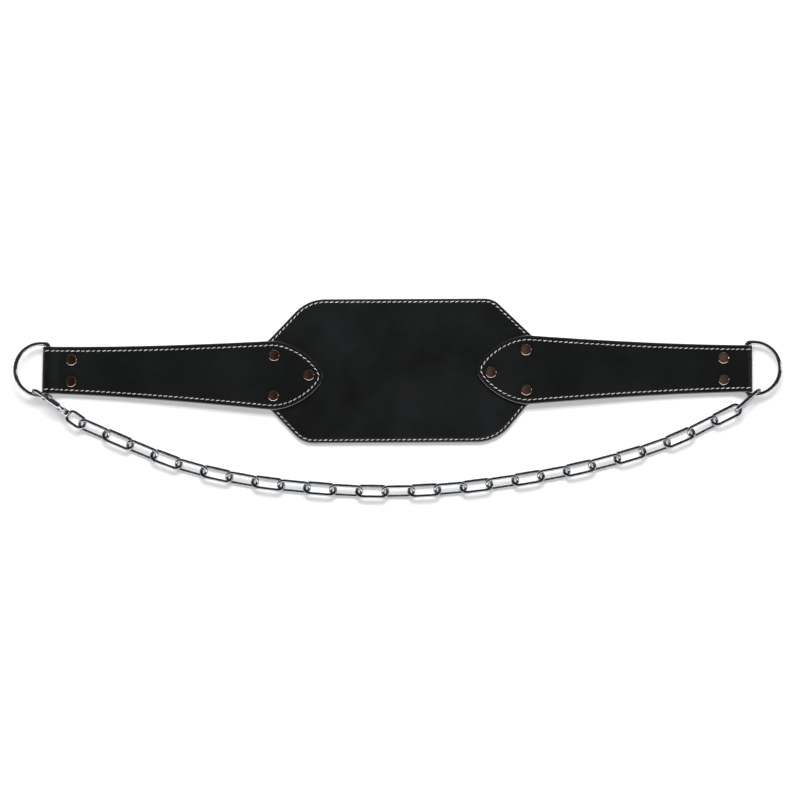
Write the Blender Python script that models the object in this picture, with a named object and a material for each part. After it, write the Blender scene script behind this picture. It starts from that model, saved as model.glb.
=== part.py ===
"""A dip belt laid flat: leather back pad, two straps, D-rings, rivets, snap hook and chain.

Units are metres and +Z is up. The origin is the middle of the pad's underside, which
lies on the floor. +X runs along the belt and +Y towards the pad's upper edge.
"""
from collections import namedtuple
from math import asin, atan2, ceil, cos, degrees, pi, radians, sin, tan

import bmesh
import bpy
from mathutils import Matrix, Vector

# Clearances
GAP = 0.0003
SLIDE_GAP = 0.0003

# Back pad
PAD_LENGTH = 0.316
PAD_HEIGHT = 0.1518
PAD_THICKNESS = 0.0063
PAD_EDGE_THICKNESS = 0.0050
PAD_CROWN_WIDTH = 0.007
PAD_CROWN_KNEE = (0.4, 0.6)
PAD_EDGE_ROUNDING = 0.0010
PAD_NECK_ROUNDING = 0.016
PAD_TAB_ROUNDING = 0.011
PAD_TAB_TUCK = 0.0015

# Straps
STRAP_THICKNESS = 0.0034
STRAP_END_WIDTH = 0.0496
STRAP_ROOT_WIDTH = 0.0725
STRAP_FLARE_POWER = 1.6
LEFT_STRAP_LENGTH = 0.2945
LEFT_APEX_UP = -0.0060
LEFT_NOSE_RIVET_ASIDE = -0.0014
RIGHT_STRAP_LENGTH = 0.2892
RIGHT_APEX_UP = 0.0009
RIGHT_NOSE_RIVET_ASIDE = -0.0024
STRAP_EDGE_ROUNDING = 0.0006
TIP_LENGTH = 0.0546
TIP_SHOULDER_PULL = 0.50
TIP_NOSE_PULL = 0.32
FLAP_LENGTH = 0.045
LOOP_LENGTH = 0.024
LOOP_LIFT = 0.0015
LOOP_CLEARANCE = 0.00035
LOOP_START_BEARING = 115.0
LOOP_END_BEARING = -82.0
LOOP_PULL = 0.4

# D-rings
RING_WIRE = 0.0046
RING_SIDE_PLAY = 0.0004
RING_LEG = 0.0075
RING_CORNER = 0.0035
RING_REST_GAP = 0.0016

# Rivets
RIVET_HEAD_RADIUS = 0.0060
RIVET_FACE_RADIUS = 0.0048
RIVET_HEAD_HEIGHT = 0.0016
RIVET_RIM_HEIGHT = 0.0005
RIVET_RIM_BEVEL = 0.0004
RIVET_SHANK_RADIUS = 0.0016
RIVET_CAP_RADIUS = 0.0045
RIVET_CAP_THICKNESS = 0.0008
ROOT_RIVET_FROM_TIP = 0.052
ROOT_RIVET_SPREAD = 0.042
NOSE_RIVET_FROM_TIP = 0.0152
END_RIVET_FROM_FOLD = 0.030
END_RIVET_SPREAD = 0.0225

# Snap hook, along its axis from the nose
HOOK_WIRE = 0.0042
HOOK_WIDTH = 0.0178
HOOK_LENGTH = 0.043
HOOK_HANG = 0.0119
HOOK_MOUTH = 0.0175
HOOK_TONGUE = 0.0118
HOOK_BRIDGE_WIDTH = 0.0090
HOOK_BRIDGE_ROUNDING = 0.0029
BARREL_RADIUS = 0.0033
BARREL_LENGTH = 0.0155
BARREL_EDGE_ROUNDING = 0.0005
BARREL_END_RADIUS = 0.0020
BOLT_RADIUS = 0.0015
BOLT_TRAVEL = 0.0055
BOLT_GRIP = 0.0095
BOLT_EDGE_ROUNDING = 0.0004
KNOB_RADIUS = 0.0024
KNOB_THICKNESS = 0.0016
KNOB_EDGE_ROUNDING = 0.0006
KNOB_STEM_RADIUS = 0.0010
KNOB_STEM_FROM_MOUTH = 0.0028
KNOB_TURN = 40.0
BOSS_RADIUS = 0.0042
BOSS_LENGTH = 0.0047
HOOK_HEADING = -34.5
HOOK_PITCH = 4.0
HOOK_ROLL = 75.0

# Swivel eye
EYE_WIRE = 0.0037
EYE_WIDTH = 0.0163
EYE_LENGTH = 0.0257
EYE_SHOULDER_ROUNDING = 0.0050
EYE_STEM_RADIUS = 0.0017
EYE_HEAD_RADIUS = 0.0027
EYE_HEAD_THICKNESS = 0.0014
EYE_COLLAR_RADIUS = 0.0045
EYE_COLLAR_LENGTH = 0.0022
EYE_COLLAR_ROUNDING = 0.0005

# Chain
CHAIN_DROP = 0.0782
LINK_WIRE = 0.0035
LINK_WIDTH = 0.0155
LINK_LENGTH = 0.0361
LINK_SLACK = 0.0017
ODD_LINK_ROLL = 34.0
EVEN_LINK_ROLL = -22.0

# End link
END_LINK_WIRE = 0.0040
END_LINK_WIDTH = 0.0155
END_LINK_LENGTH = 0.0370
END_LINK_HANG = 0.0223
END_LINK_HEADING = 41.5
END_LINK_ROLL = 80.0

# Facets
ARC_STEP = 18.0
RING_ARC_STEP = 12.0
WIRE_SIDES = 10
TURNED_SIDES = 12
LINK_SIDES = 6
LINK_BEND_STEPS = 5
TIP_STEPS = 10
DESCENT_STEPS = 8
LOOP_SIDE_STEPS = 3
LOOP_ARC_STEPS = 10
ROUTE_STEPS = 24
SEARCH_STEPS = 40
SAME_PLACE = 0.000001

# The pad's four outer corners
Corner = namedtuple("Corner", "along_share up_share rounding_share")
PAD_CORNERS = {
    "lower left": Corner(-0.640, -1.003, 0.178),
    "lower right": Corner(0.650, -0.988, 0.300),
    "upper right": Corner(0.625, 1.003, 0.145),
    "upper left": Corner(-0.606, 0.992, 0.280),
}
# Where the pad's slopes meet the straps, as shares of half the pad's length
PAD_NECKS = {
    "lower left": -0.864,
    "lower right": 0.8646,
    "upper right": 0.894,
    "upper left": -0.882,
}

# The two straps: where the tips lie on the pad, which way the straps run and how far
Strap = namedtuple("Strap", "side apex_share apex_up heading length nose_rivet_aside")
LEFT = Strap("left", -0.502, LEFT_APEX_UP, 178.64, LEFT_STRAP_LENGTH, LEFT_NOSE_RIVET_ASIDE)
RIGHT = Strap("right", 0.514, RIGHT_APEX_UP, 0.31, RIGHT_STRAP_LENGTH, RIGHT_NOSE_RIVET_ASIDE)

# The chain's lay from the eye to the end link: shares of the span and of its depth
CHAIN_ROUTE = (
    (0.000, 0.000),
    (0.075, 0.305),
    (0.150, 0.580),
    (0.230, 0.770),
    (0.310, 0.890),
    (0.430, 0.990),
    (0.550, 0.985),
    (0.665, 0.880),
    (0.780, 0.705),
    (0.895, 0.420),
    (1.000, 0.000),
)

# Sizes that follow from the ones above
LAYER_MIDDLE = STRAP_THICKNESS / 2
FLAP_Z = LAYER_MIDDLE
UPPER_Z = STRAP_THICKNESS + GAP + LAYER_MIDDLE
PAD_STRAP_Z = PAD_THICKNESS + GAP + LAYER_MIDDLE
LOOP_RADIUS = RING_WIRE / 2 + LOOP_CLEARANCE + LAYER_MIDDLE
BAR_FROM_FOLD = LOOP_RADIUS + LAYER_MIDDLE
BAR_Z = LOOP_LIFT + STRAP_THICKNESS + LOOP_CLEARANCE + RING_WIRE / 2
RING_HALF = STRAP_END_WIDTH / 2 + RING_SIDE_PLAY + RING_WIRE / 2
HOOK_HALF = (HOOK_WIDTH - HOOK_WIRE) / 2
EYE_HALF = (EYE_WIDTH - EYE_WIRE) / 2
LINK_HALF = (LINK_WIDTH - LINK_WIRE) / 2
END_LINK_HALF = (END_LINK_WIDTH - END_LINK_WIRE) / 2
LINK_PITCH = LINK_LENGTH - 2 * LINK_WIRE - LINK_SLACK
CHAIN_Z = LINK_HALF * sin(radians(ODD_LINK_ROLL)) + LINK_WIRE / 2


def clear_scene():
    for obj in list(bpy.data.objects):
        bpy.data.objects.remove(obj, do_unlink=True)


def material(name, colour, roughness, metallic):
    made = bpy.data.materials.new(name)
    made.use_nodes = True
    shader = made.node_tree.nodes["Principled BSDF"]
    shader.inputs["Base Color"].default_value = (*colour, 1.0)
    shader.inputs["Roughness"].default_value = roughness
    shader.inputs["Metallic"].default_value = metallic
    made.diffuse_color = (*colour, 1.0)
    return made


def make_object(name, points, faces, finish, smooth_angle=40.0):
    mesh = bpy.data.meshes.new(name)
    mesh.from_pydata([tuple(point) for point in points], [], faces)
    work = bmesh.new()
    work.from_mesh(mesh)
    bmesh.ops.recalc_face_normals(work, faces=work.faces)
    work.to_mesh(mesh)
    work.free()
    mesh.shade_smooth()
    mesh.set_sharp_from_angle(angle=radians(smooth_angle))
    if finish:
        mesh.materials.append(finish)
    obj = bpy.data.objects.new(name, mesh)
    bpy.context.scene.collection.objects.link(obj)
    return obj


def bridge(first, second, count):
    """Quads between two rings of points that start at these indices."""
    faces = []
    for i in range(count):
        j = (i + 1) % count
        faces.append((first + i, first + j, second + j, second + i))
    return faces


def fillet_path(corners, step=ARC_STEP):
    """A flat path through corners (x, y, radius), with each corner rounded.

    The ends of an open path have no radius.
    """
    path = []
    count = len(corners)
    for i, (x, y, radius) in enumerate(corners):
        here = Vector((x, y))
        if radius == 0:
            path.append(here)
            continue
        before = Vector(corners[i - 1][:2]) - here
        after = Vector(corners[(i + 1) % count][:2]) - here
        turn = pi - before.angle(after)
        reach = min(radius * tan(turn / 2), before.length / 2, after.length / 2)
        radius = reach / tan(turn / 2)
        middle = (before.normalized() + after.normalized()).normalized()
        centre = here + middle * (radius / cos(turn / 2))
        start = here + before.normalized() * reach
        finish = here + after.normalized() * reach
        steps = max(2, ceil(turn / radians(step)))
        angle = atan2(start.y - centre.y, start.x - centre.x)
        sweep = atan2(finish.y - centre.y, finish.x - centre.x) - angle
        sweep = (sweep + pi) % (2 * pi) - pi
        for k in range(steps + 1):
            bearing = angle + sweep * k / steps
            place = centre + radius * Vector((cos(bearing), sin(bearing)))
            if not path or (place - path[-1]).length > SAME_PLACE:
                path.append(place)
    if (path[0] - path[-1]).length < SAME_PLACE:
        path.pop()
    return path


def path_normals(path, closed):
    """Left-hand normals of a flat path, lengthened at its turns to keep the width."""
    normals = []
    count = len(path)
    for i, here in enumerate(path):
        at_start = not closed and i == 0
        at_end = not closed and i == count - 1
        before = here if at_start else path[i - 1]
        after = here if at_end else path[(i + 1) % count]
        first = (after - here if at_start else here - before).normalized()
        second = (here - before if at_end else after - here).normalized()
        along = (first + second).normalized()
        stretch = 1 / max(0.5, along.dot(first))
        normals.append(Vector((-along.y, along.x)) * stretch)
    return normals


def inset(path, distance):
    """A closed counter-clockwise path moved inwards."""
    return [point + normal * distance for point, normal in zip(path, path_normals(path, True))]


def tube(path, radius, sides, closed):
    """Points and faces of a round wire along a flat path."""
    points = []
    faces = []
    for here, normal in zip(path, path_normals(path, closed)):
        for k in range(sides):
            turn = 2 * pi * (k + 0.5) / sides
            across = here + normal * (radius * cos(turn))
            points.append((across.x, across.y, radius * sin(turn)))
    rows = len(path)
    for i in range(rows if closed else rows - 1):
        faces += bridge(i * sides, ((i + 1) % rows) * sides, sides)
    if not closed:
        faces.append(tuple(range(sides)))
        faces.append(tuple(range((rows - 1) * sides, rows * sides)))
    return points, faces


def turned(profile, sides):
    """Points and faces of a profile (radius, height) turned about Z, closed on the axis."""
    points = [(0.0, 0.0, profile[0][1])]
    for radius, height in profile[1:-1]:
        for k in range(sides):
            turn = 2 * pi * k / sides
            points.append((radius * cos(turn), radius * sin(turn), height))
    points.append((0.0, 0.0, profile[-1][1]))
    faces = []
    rows = len(profile) - 2
    for k in range(sides):
        following = (k + 1) % sides
        faces.append((0, 1 + k, 1 + following))
        start = 1 + (rows - 1) * sides
        faces.append((len(points) - 1, start + following, start + k))
    for row in range(rows - 1):
        faces += bridge(1 + row * sides, 1 + (row + 1) * sides, sides)
    return points, faces


def along_x(points):
    """Turns points made about Z so that they run about X."""
    return [(z, x, y) for x, y, z in points]


def combine(obj, other, operation):
    """Joins another solid to an object, or cuts it out."""
    modifier = obj.modifiers.new(other.name, "BOOLEAN")
    modifier.operation = operation
    modifier.object = other
    modifier.solver = "EXACT"
    other.hide_render = True
    other.display_type = "WIRE"


def bezier(start, pull_start, pull_end, end, share):
    rest = 1 - share
    return (
        start * rest**3
        + pull_start * (3 * rest**2 * share)
        + pull_end * (3 * rest * share**2)
        + end * share**3
    )


def smoothstep(share):
    share = min(1.0, max(0.0, share))
    return share * share * (3 - 2 * share)


def smooth_curve(points, steps):
    """A smooth curve through flat points, with a number of steps between each two."""
    ends = [2 * points[0] - points[1]] + list(points) + [2 * points[-1] - points[-2]]
    curve = []
    for i in range(1, len(ends) - 2):
        before, start, end, after = ends[i - 1 : i + 3]
        for k in range(steps):
            pull_start = start + (end - before) / 6
            pull_end = end - (after - start) / 6
            curve.append(bezier(start, pull_start, pull_end, end, k / steps))
    curve.append(points[-1])
    return curve


# Straps


def strap_frame(strap):
    """The strap's own frame: X from the tip to the fold, Y across, Z up."""
    place = Vector((strap.apex_share * PAD_LENGTH / 2, strap.apex_up, 0))
    return Matrix.Translation(place) @ Matrix.Rotation(radians(strap.heading), 4, "Z")


def strap_half_width(strap, from_tip):
    """Half the strap's width beyond the pointed tip."""
    tapered = strap.length - TIP_LENGTH
    share = min(1.0, max(0.0, (strap.length - from_tip) / tapered))
    growth = (STRAP_ROOT_WIDTH - STRAP_END_WIDTH) / 2
    return STRAP_END_WIDTH / 2 + growth * share**STRAP_FLARE_POWER


def strap_edge(strap, x, upper):
    """The height in the plan of the strap's edge at a place along the belt."""
    heading = radians(strap.heading)
    from_tip = (x - strap.apex_share * PAD_LENGTH / 2) / cos(heading)
    half = strap_half_width(strap, from_tip)
    return strap.apex_up + from_tip * sin(heading) + (half if upper else -half)


def tip_outline():
    """Stations (from_tip, half_width, inward direction) round the pointed tip."""
    half = STRAP_ROOT_WIDTH / 2
    nose = Vector((0, 0))
    nose_pull = Vector((0, half * TIP_NOSE_PULL))
    shoulder_pull = Vector((TIP_LENGTH * (1 - TIP_SHOULDER_PULL), half))
    shoulder = Vector((TIP_LENGTH, half))
    curve = [
        bezier(nose, nose_pull, shoulder_pull, shoulder, k / TIP_STEPS) for k in range(TIP_STEPS + 1)
    ]
    stations = []
    for k, place in enumerate(curve):
        if k == 0:
            inward = Vector((1, 0))
        else:
            run = curve[min(k + 1, TIP_STEPS)] - curve[k - 1]
            inward = Vector((run.y, -run.x)).normalized()
        stations.append((place.x, place.y, inward))
    return stations


def strap_stations(strap):
    """The strap's stations from its tip, over the pad, round the ring and back below."""
    straight = Vector((0, -1))
    stations = [(x, PAD_STRAP_Z, half, inward) for x, half, inward in tip_outline()]
    descent_start = (PAD_LENGTH / 2) * (1 - abs(strap.apex_share)) - PAD_CROWN_WIDTH
    descent_end = strap.length - FLAP_LENGTH - STRAP_THICKNESS
    for k in range(DESCENT_STEPS + 1):
        share = k / DESCENT_STEPS
        x = descent_start + (descent_end - descent_start) * share
        z = PAD_STRAP_Z + (UPPER_Z - PAD_STRAP_Z) * smoothstep(share)
        stations.append((x, z, strap_half_width(strap, x), straight))
    bar = Vector((strap.length - BAR_FROM_FOLD, BAR_Z))
    pinch_x = strap.length - LOOP_LENGTH
    for x, z in loop_path(bar, pinch_x):
        stations.append((x, z, strap_half_width(strap, x), straight))
    flap_end = strap.length - FLAP_LENGTH
    flap_half = strap_half_width(strap, flap_end)
    stations.append((flap_end, FLAP_Z, flap_half, Vector((-1, -1))))
    return stations


def loop_path(bar, pinch_x):
    """The middle of the leather round the ring's bar, seen from the side."""

    def on_arc(bearing):
        return bar + LOOP_RADIUS * Vector((cos(bearing), sin(bearing)))

    def run_at(bearing):
        return Vector((sin(bearing), -cos(bearing)))

    first, last = radians(LOOP_START_BEARING), radians(LOOP_END_BEARING)
    level = Vector((1, 0))
    upper, lower = Vector((pinch_x, UPPER_Z)), Vector((pinch_x, FLAP_Z))
    upper_pull = (on_arc(first) - upper).length * LOOP_PULL
    lower_pull = (on_arc(last) - lower).length * LOOP_PULL
    rise = (upper, upper + level * upper_pull, on_arc(first) - run_at(first) * upper_pull)
    fall = (on_arc(last), on_arc(last) + run_at(last) * lower_pull, lower + level * lower_pull)
    path = [bezier(*rise, on_arc(first), k / LOOP_SIDE_STEPS) for k in range(LOOP_SIDE_STEPS)]
    path += [on_arc(first + (last - first) * k / LOOP_ARC_STEPS) for k in range(LOOP_ARC_STEPS)]
    path += [bezier(*fall, lower, k / LOOP_SIDE_STEPS) for k in range(LOOP_SIDE_STEPS + 1)]
    return path


def strap_mesh(strap):
    """A ribbon of leather with softened edges, swept through the stations."""
    stations = strap_stations(strap)
    count = len(stations)
    rows = [[], [], [], []]
    for side in (1, -1):
        order = range(count) if side == 1 else range(count - 1, 0, -1)
        for i in order:
            x, z, half, inward = stations[i]
            here = Vector((x, z))
            before = Vector(stations[max(0, i - 1)][:2])
            after = Vector(stations[min(count - 1, i + 1)][:2])
            along = (after - before).normalized()
            outward = Vector((-along.y, along.x))
            soft = STRAP_EDGE_ROUNDING
            shifted = here + along * (inward.x * soft)
            inner_half = side * (half + inward.y * soft)
            for row, base, across, lift in (
                (0, shifted, inner_half, -LAYER_MIDDLE),
                (1, here, side * half, -LAYER_MIDDLE + soft),
                (2, here, side * half, LAYER_MIDDLE - soft),
                (3, shifted, inner_half, LAYER_MIDDLE),
            ):
                place = base + outward * lift
                rows[row].append((place.x, across, place.y))
    outline = len(rows[0])
    points = [point for row in rows for point in row]
    faces = []
    for row in range(3):
        faces += bridge(row * outline, (row + 1) * outline, outline)
    for start in (0, 3 * outline):
        faces.append((start, start + 1, start + outline - 1))
        for i in range(1, count - 1):
            faces.append((start + i, start + i + 1, start + outline - i - 1, start + outline - i))
    return points, faces


def rivet_places(strap):
    """Each rivet of a strap: place along and across it, and the leather's top there."""
    pad_top = PAD_STRAP_Z + LAYER_MIDDLE
    end_top = UPPER_Z + LAYER_MIDDLE
    end_x = strap.length - END_RIVET_FROM_FOLD
    return (
        (NOSE_RIVET_FROM_TIP, strap.nose_rivet_aside, pad_top),
        (ROOT_RIVET_FROM_TIP, -ROOT_RIVET_SPREAD / 2, pad_top),
        (ROOT_RIVET_FROM_TIP, ROOT_RIVET_SPREAD / 2, pad_top),
        (end_x, -END_RIVET_SPREAD / 2, end_top),
        (end_x, END_RIVET_SPREAD / 2, end_top),
    )


def rivet_mesh(leather_top):
    """A rivet whose back cap lies just inside the underside and whose head lies on top."""
    cap_bottom = GAP / 2
    cap_top = cap_bottom + RIVET_CAP_THICKNESS
    seat = leather_top + GAP
    head_top = seat + RIVET_HEAD_HEIGHT
    rim_top = seat + RIVET_RIM_HEIGHT
    profile = (
        (0, cap_bottom),
        (RIVET_CAP_RADIUS, cap_bottom),
        (RIVET_CAP_RADIUS, cap_top),
        (RIVET_SHANK_RADIUS, cap_top),
        (RIVET_SHANK_RADIUS, seat),
        (RIVET_HEAD_RADIUS - RIVET_RIM_BEVEL, seat),
        (RIVET_HEAD_RADIUS, rim_top),
        (RIVET_HEAD_RADIUS - RIVET_RIM_BEVEL, head_top - RIVET_RIM_BEVEL),
        (RIVET_FACE_RADIUS, head_top),
        (0, head_top),
    )
    return turned(profile, TURNED_SIDES)


def rivet_hole_mesh(leather_top):
    """The space that one rivet needs: a recess for its cap and a hole for its shank."""
    recess_top = GAP / 2 + RIVET_CAP_THICKNESS + GAP
    hole = RIVET_SHANK_RADIUS + GAP
    recess = RIVET_CAP_RADIUS + GAP
    profile = (
        (0, -GAP),
        (recess, -GAP),
        (recess, recess_top),
        (hole, recess_top),
        (hole, leather_top + GAP),
        (0, leather_top + GAP),
    )
    return turned(profile, TURNED_SIDES)


def rivet_cutter(name, strap, places):
    """One cutter with the spaces of several rivets."""
    points = []
    faces = []
    for along, across, leather_top in places:
        hole_points, hole_faces = rivet_hole_mesh(leather_top)
        start = len(points)
        points += [(x + along, y + across, z) for x, y, z in hole_points]
        faces += [tuple(start + i for i in face) for face in hole_faces]
    cutter = make_object(name, points, faces, None)
    cutter.matrix_world = strap_frame(strap)
    return cutter


def build_strap(strap, leather, rivet_metal):
    """One strap with its five rivets, and the cutter that the pad shares with it."""
    frame = strap_frame(strap)
    places = rivet_places(strap)
    body = make_object("strap_" + strap.side, *strap_mesh(strap), leather, 30.0)
    body.matrix_world = frame
    pad_cutter = rivet_cutter("pad_holes_" + strap.side, strap, places[:3])
    end_cutter = rivet_cutter("end_holes_" + strap.side, strap, places[3:])
    combine(body, pad_cutter, "DIFFERENCE")
    combine(body, end_cutter, "DIFFERENCE")
    for number, (along, across, leather_top) in enumerate(places, 1):
        name = f"rivet_{strap.side}_{number}"
        rivet = make_object(name, *rivet_mesh(leather_top), rivet_metal)
        rivet.matrix_world = frame @ Matrix.Translation((along, across, 0))
    return pad_cutter


# Pad


def pad_outline():
    """The pad's outline, counter-clockwise, with tabs that end under the straps."""
    half_length = PAD_LENGTH / 2
    half_height = PAD_HEIGHT / 2

    def tab(strap, x, upper, rounding):
        tuck = -PAD_TAB_TUCK if upper else PAD_TAB_TUCK
        return (x, strap_edge(strap, x, upper) + tuck, rounding)

    def corner(name):
        row = PAD_CORNERS[name]
        return (
            row.along_share * half_length,
            row.up_share * half_height,
            row.rounding_share * PAD_HEIGHT,
        )

    def neck(strap, name, upper):
        return tab(strap, PAD_NECKS[name] * half_length, upper, PAD_NECK_ROUNDING)

    corners = (
        tab(LEFT, -half_length, False, PAD_TAB_ROUNDING),
        neck(LEFT, "lower left", False),
        corner("lower left"),
        corner("lower right"),
        neck(RIGHT, "lower right", False),
        tab(RIGHT, half_length, False, PAD_TAB_ROUNDING),
        tab(RIGHT, half_length, True, PAD_TAB_ROUNDING),
        neck(RIGHT, "upper right", True),
        corner("upper right"),
        corner("upper left"),
        neck(LEFT, "upper left", True),
        tab(LEFT, -half_length, True, PAD_TAB_ROUNDING),
    )
    return fillet_path(corners)


def build_pad(leather, cutters):
    """A flat-bottomed pad with softened edges and a low crown."""
    outline = pad_outline()
    soft = PAD_EDGE_ROUNDING
    crown = PAD_THICKNESS - PAD_EDGE_THICKNESS
    knee_in, knee_up = PAD_CROWN_KNEE
    layers = (
        (soft, 0),
        (0, soft),
        (0, PAD_EDGE_THICKNESS - soft),
        (soft, PAD_EDGE_THICKNESS),
        (soft + PAD_CROWN_WIDTH * knee_in, PAD_EDGE_THICKNESS + crown * knee_up),
        (PAD_CROWN_WIDTH, PAD_THICKNESS),
    )
    points = []
    faces = []
    count = len(outline)
    for distance, z in layers:
        points += [(point.x, point.y, z) for point in inset(outline, distance)]
    for row in range(len(layers) - 1):
        faces += bridge(row * count, (row + 1) * count, count)
    faces.append(tuple(range(count)))
    faces.append(tuple(range(len(points) - count, len(points))))
    pad = make_object("back_pad", points, faces, leather, 30.0)
    for cutter in cutters:
        combine(pad, cutter, "DIFFERENCE")


# Rings, hook and links


def ring_frame(strap, leg_height):
    """The ring's frame: origin in the bar's middle, X outwards, tilted to reach a height."""
    tilt = asin((leg_height - BAR_Z) / RING_LEG)
    bar = Matrix.Translation((strap.length - BAR_FROM_FOLD, 0, BAR_Z))
    return strap_frame(strap) @ bar @ Matrix.Rotation(-tilt, 4, "Y")


def ring_path():
    """The D's wire, counter-clockwise: down the bar at X = 0, then round the bow."""
    bar = (
        (RING_LEG, RING_HALF, 0),
        (0, RING_HALF, RING_CORNER),
        (0, -RING_HALF, RING_CORNER),
        (RING_LEG, -RING_HALF, 0),
    )
    path = fillet_path(bar, RING_ARC_STEP)
    steps = round(180 / RING_ARC_STEP)
    for k in range(1, steps):
        turn = pi * k / steps - pi / 2
        path.append(Vector((RING_LEG + RING_HALF * cos(turn), RING_HALF * sin(turn))))
    return path


def build_ring(strap, frame, metal):
    points, faces = tube(ring_path(), RING_WIRE / 2, WIRE_SIDES, True)
    ring = make_object("d_ring_" + strap.side, points, faces, metal)
    ring.matrix_world = frame


def posed(heading, pitch, roll):
    """A turn that heads along the floor, dips by the pitch and rolls about its own X."""
    turn = Matrix.Rotation(radians(heading), 4, "Z")
    turn = turn @ Matrix.Rotation(radians(pitch), 4, "Y")
    return turn @ Matrix.Rotation(radians(roll), 4, "X")


def hook_path():
    """The hook's wire in its own plane: tongue, nose, spine and the arms at the boss."""
    arm_start = HOOK_MOUTH + BARREL_LENGTH
    bridge_x = HOOK_LENGTH - BOSS_LENGTH / 2
    bridge_half = HOOK_BRIDGE_WIDTH / 2
    corners = (
        (HOOK_TONGUE, HOOK_HALF, 0),
        (HOOK_WIRE / 2, HOOK_HALF, HOOK_HALF),
        (HOOK_WIRE / 2, -HOOK_HALF, HOOK_HALF),
        (arm_start, -HOOK_HALF, HOOK_HALF),
        (bridge_x, -bridge_half, HOOK_BRIDGE_ROUNDING),
        (bridge_x, bridge_half, HOOK_BRIDGE_ROUNDING),
        (arm_start, HOOK_HALF, 0),
    )
    return fillet_path(corners)


def turned_piece(name, profile, sides, frame, across=0.0, finish=None):
    """A turned solid along X, at a distance across."""
    points, faces = turned(profile, sides)
    points = [(x, y + across, z) for x, y, z in along_x(points)]
    piece = make_object(name, points, faces, finish)
    piece.matrix_world = frame
    return piece


def knob_frame(frame, x):
    """The frame of the thumb knob: its own X runs out of the barrel's side."""
    centre = Matrix.Translation((x, HOOK_HALF, 0))
    return frame @ centre @ Matrix.Rotation(radians(90), 4, "Z") @ Matrix.Rotation(
        radians(KNOB_TURN), 4, "Y"
    )


def build_hook_body(frame, metal):
    body_points, body_faces = tube(hook_path(), HOOK_WIRE / 2, WIRE_SIDES, False)
    body = make_object("hook_body", body_points, body_faces, metal)
    body.matrix_world = frame
    bore = BOLT_RADIUS + SLIDE_GAP
    bore_end = HOOK_MOUTH + BOLT_GRIP + BOLT_TRAVEL - GAP
    barrel_end = HOOK_MOUTH + BARREL_LENGTH + HOOK_WIRE / 2
    soft = BARREL_EDGE_ROUNDING
    barrel = turned_piece(
        "barrel",
        (
            (0, HOOK_MOUTH),
            (BARREL_RADIUS - soft, HOOK_MOUTH),
            (BARREL_RADIUS, HOOK_MOUTH + soft),
            (BARREL_RADIUS, barrel_end - HOOK_WIRE / 2),
            (BARREL_END_RADIUS, barrel_end),
            (0, barrel_end),
        ),
        TURNED_SIDES,
        frame,
        HOOK_HALF,
    )
    combine(body, barrel, "UNION")
    boss_start = HOOK_LENGTH - BOSS_LENGTH
    boss = turned_piece(
        "boss",
        (
            (0, boss_start),
            (BOSS_RADIUS - soft, boss_start),
            (BOSS_RADIUS, boss_start + soft),
            (BOSS_RADIUS, HOOK_LENGTH),
            (0, HOOK_LENGTH),
        ),
        TURNED_SIDES,
        frame,
    )
    combine(body, boss, "UNION")
    past = GAP
    swivel_bore = EYE_STEM_RADIUS + GAP
    bore_profile = (
        (0, HOOK_MOUTH - past),
        (bore, HOOK_MOUTH - past),
        (bore, bore_end),
        (0, bore_end),
    )
    bolt_bore = turned_piece("bolt_bore", bore_profile, TURNED_SIDES, frame, HOOK_HALF)
    combine(body, bolt_bore, "DIFFERENCE")
    swivel_profile = (
        (0, boss_start - past),
        (swivel_bore, boss_start - past),
        (swivel_bore, HOOK_LENGTH + past),
        (0, HOOK_LENGTH + past),
    )
    combine(body, turned_piece("swivel_bore", swivel_profile, TURNED_SIDES, frame), "DIFFERENCE")
    combine(body, slot_cutter(frame), "DIFFERENCE")


def slot_cutter(frame):
    """The slot in the barrel's wall that the knob's stem slides in."""
    half = KNOB_STEM_RADIUS + SLIDE_GAP
    start = HOOK_MOUTH + KNOB_STEM_FROM_MOUTH - half
    end = HOOK_MOUTH + KNOB_STEM_FROM_MOUTH + BOLT_TRAVEL + half
    points = []
    for out in (0, BARREL_RADIUS + GAP):
        points += [
            (out, start, -half),
            (out, end, -half),
            (out, end, half),
            (out, start, half),
        ]
    faces = [(0, 1, 2, 3), (4, 5, 6, 7)] + bridge(0, 4, 4)
    points = [(out, HOOK_MOUTH - along, side) for out, along, side in points]
    cutter = make_object("knob_slot", points, faces, None)
    cutter.matrix_world = knob_frame(frame, HOOK_MOUTH)
    return cutter


def build_hook_bolt(frame, metal):
    tip = HOOK_TONGUE + GAP
    soft = BOLT_EDGE_ROUNDING
    end = HOOK_MOUTH + BOLT_GRIP - 2 * GAP
    rod = turned_piece(
        "hook_bolt",
        (
            (0, tip),
            (BOLT_RADIUS - soft, tip),
            (BOLT_RADIUS, tip + soft),
            (BOLT_RADIUS, end),
            (0, end),
        ),
        WIRE_SIDES,
        frame,
        HOOK_HALF,
        metal,
    )
    knob_base = BARREL_RADIUS + SLIDE_GAP
    knob_top = knob_base + KNOB_THICKNESS
    stem = turned_piece(
        "knob",
        (
            (0, 0),
            (KNOB_STEM_RADIUS, 0),
            (KNOB_STEM_RADIUS, knob_base),
            (KNOB_RADIUS, knob_base),
            (KNOB_RADIUS, knob_top - KNOB_EDGE_ROUNDING),
            (KNOB_RADIUS - KNOB_EDGE_ROUNDING, knob_top),
            (0, knob_top),
        ),
        WIRE_SIDES,
        knob_frame(frame, HOOK_MOUTH + KNOB_STEM_FROM_MOUTH),
    )
    combine(rod, stem, "UNION")


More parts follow.
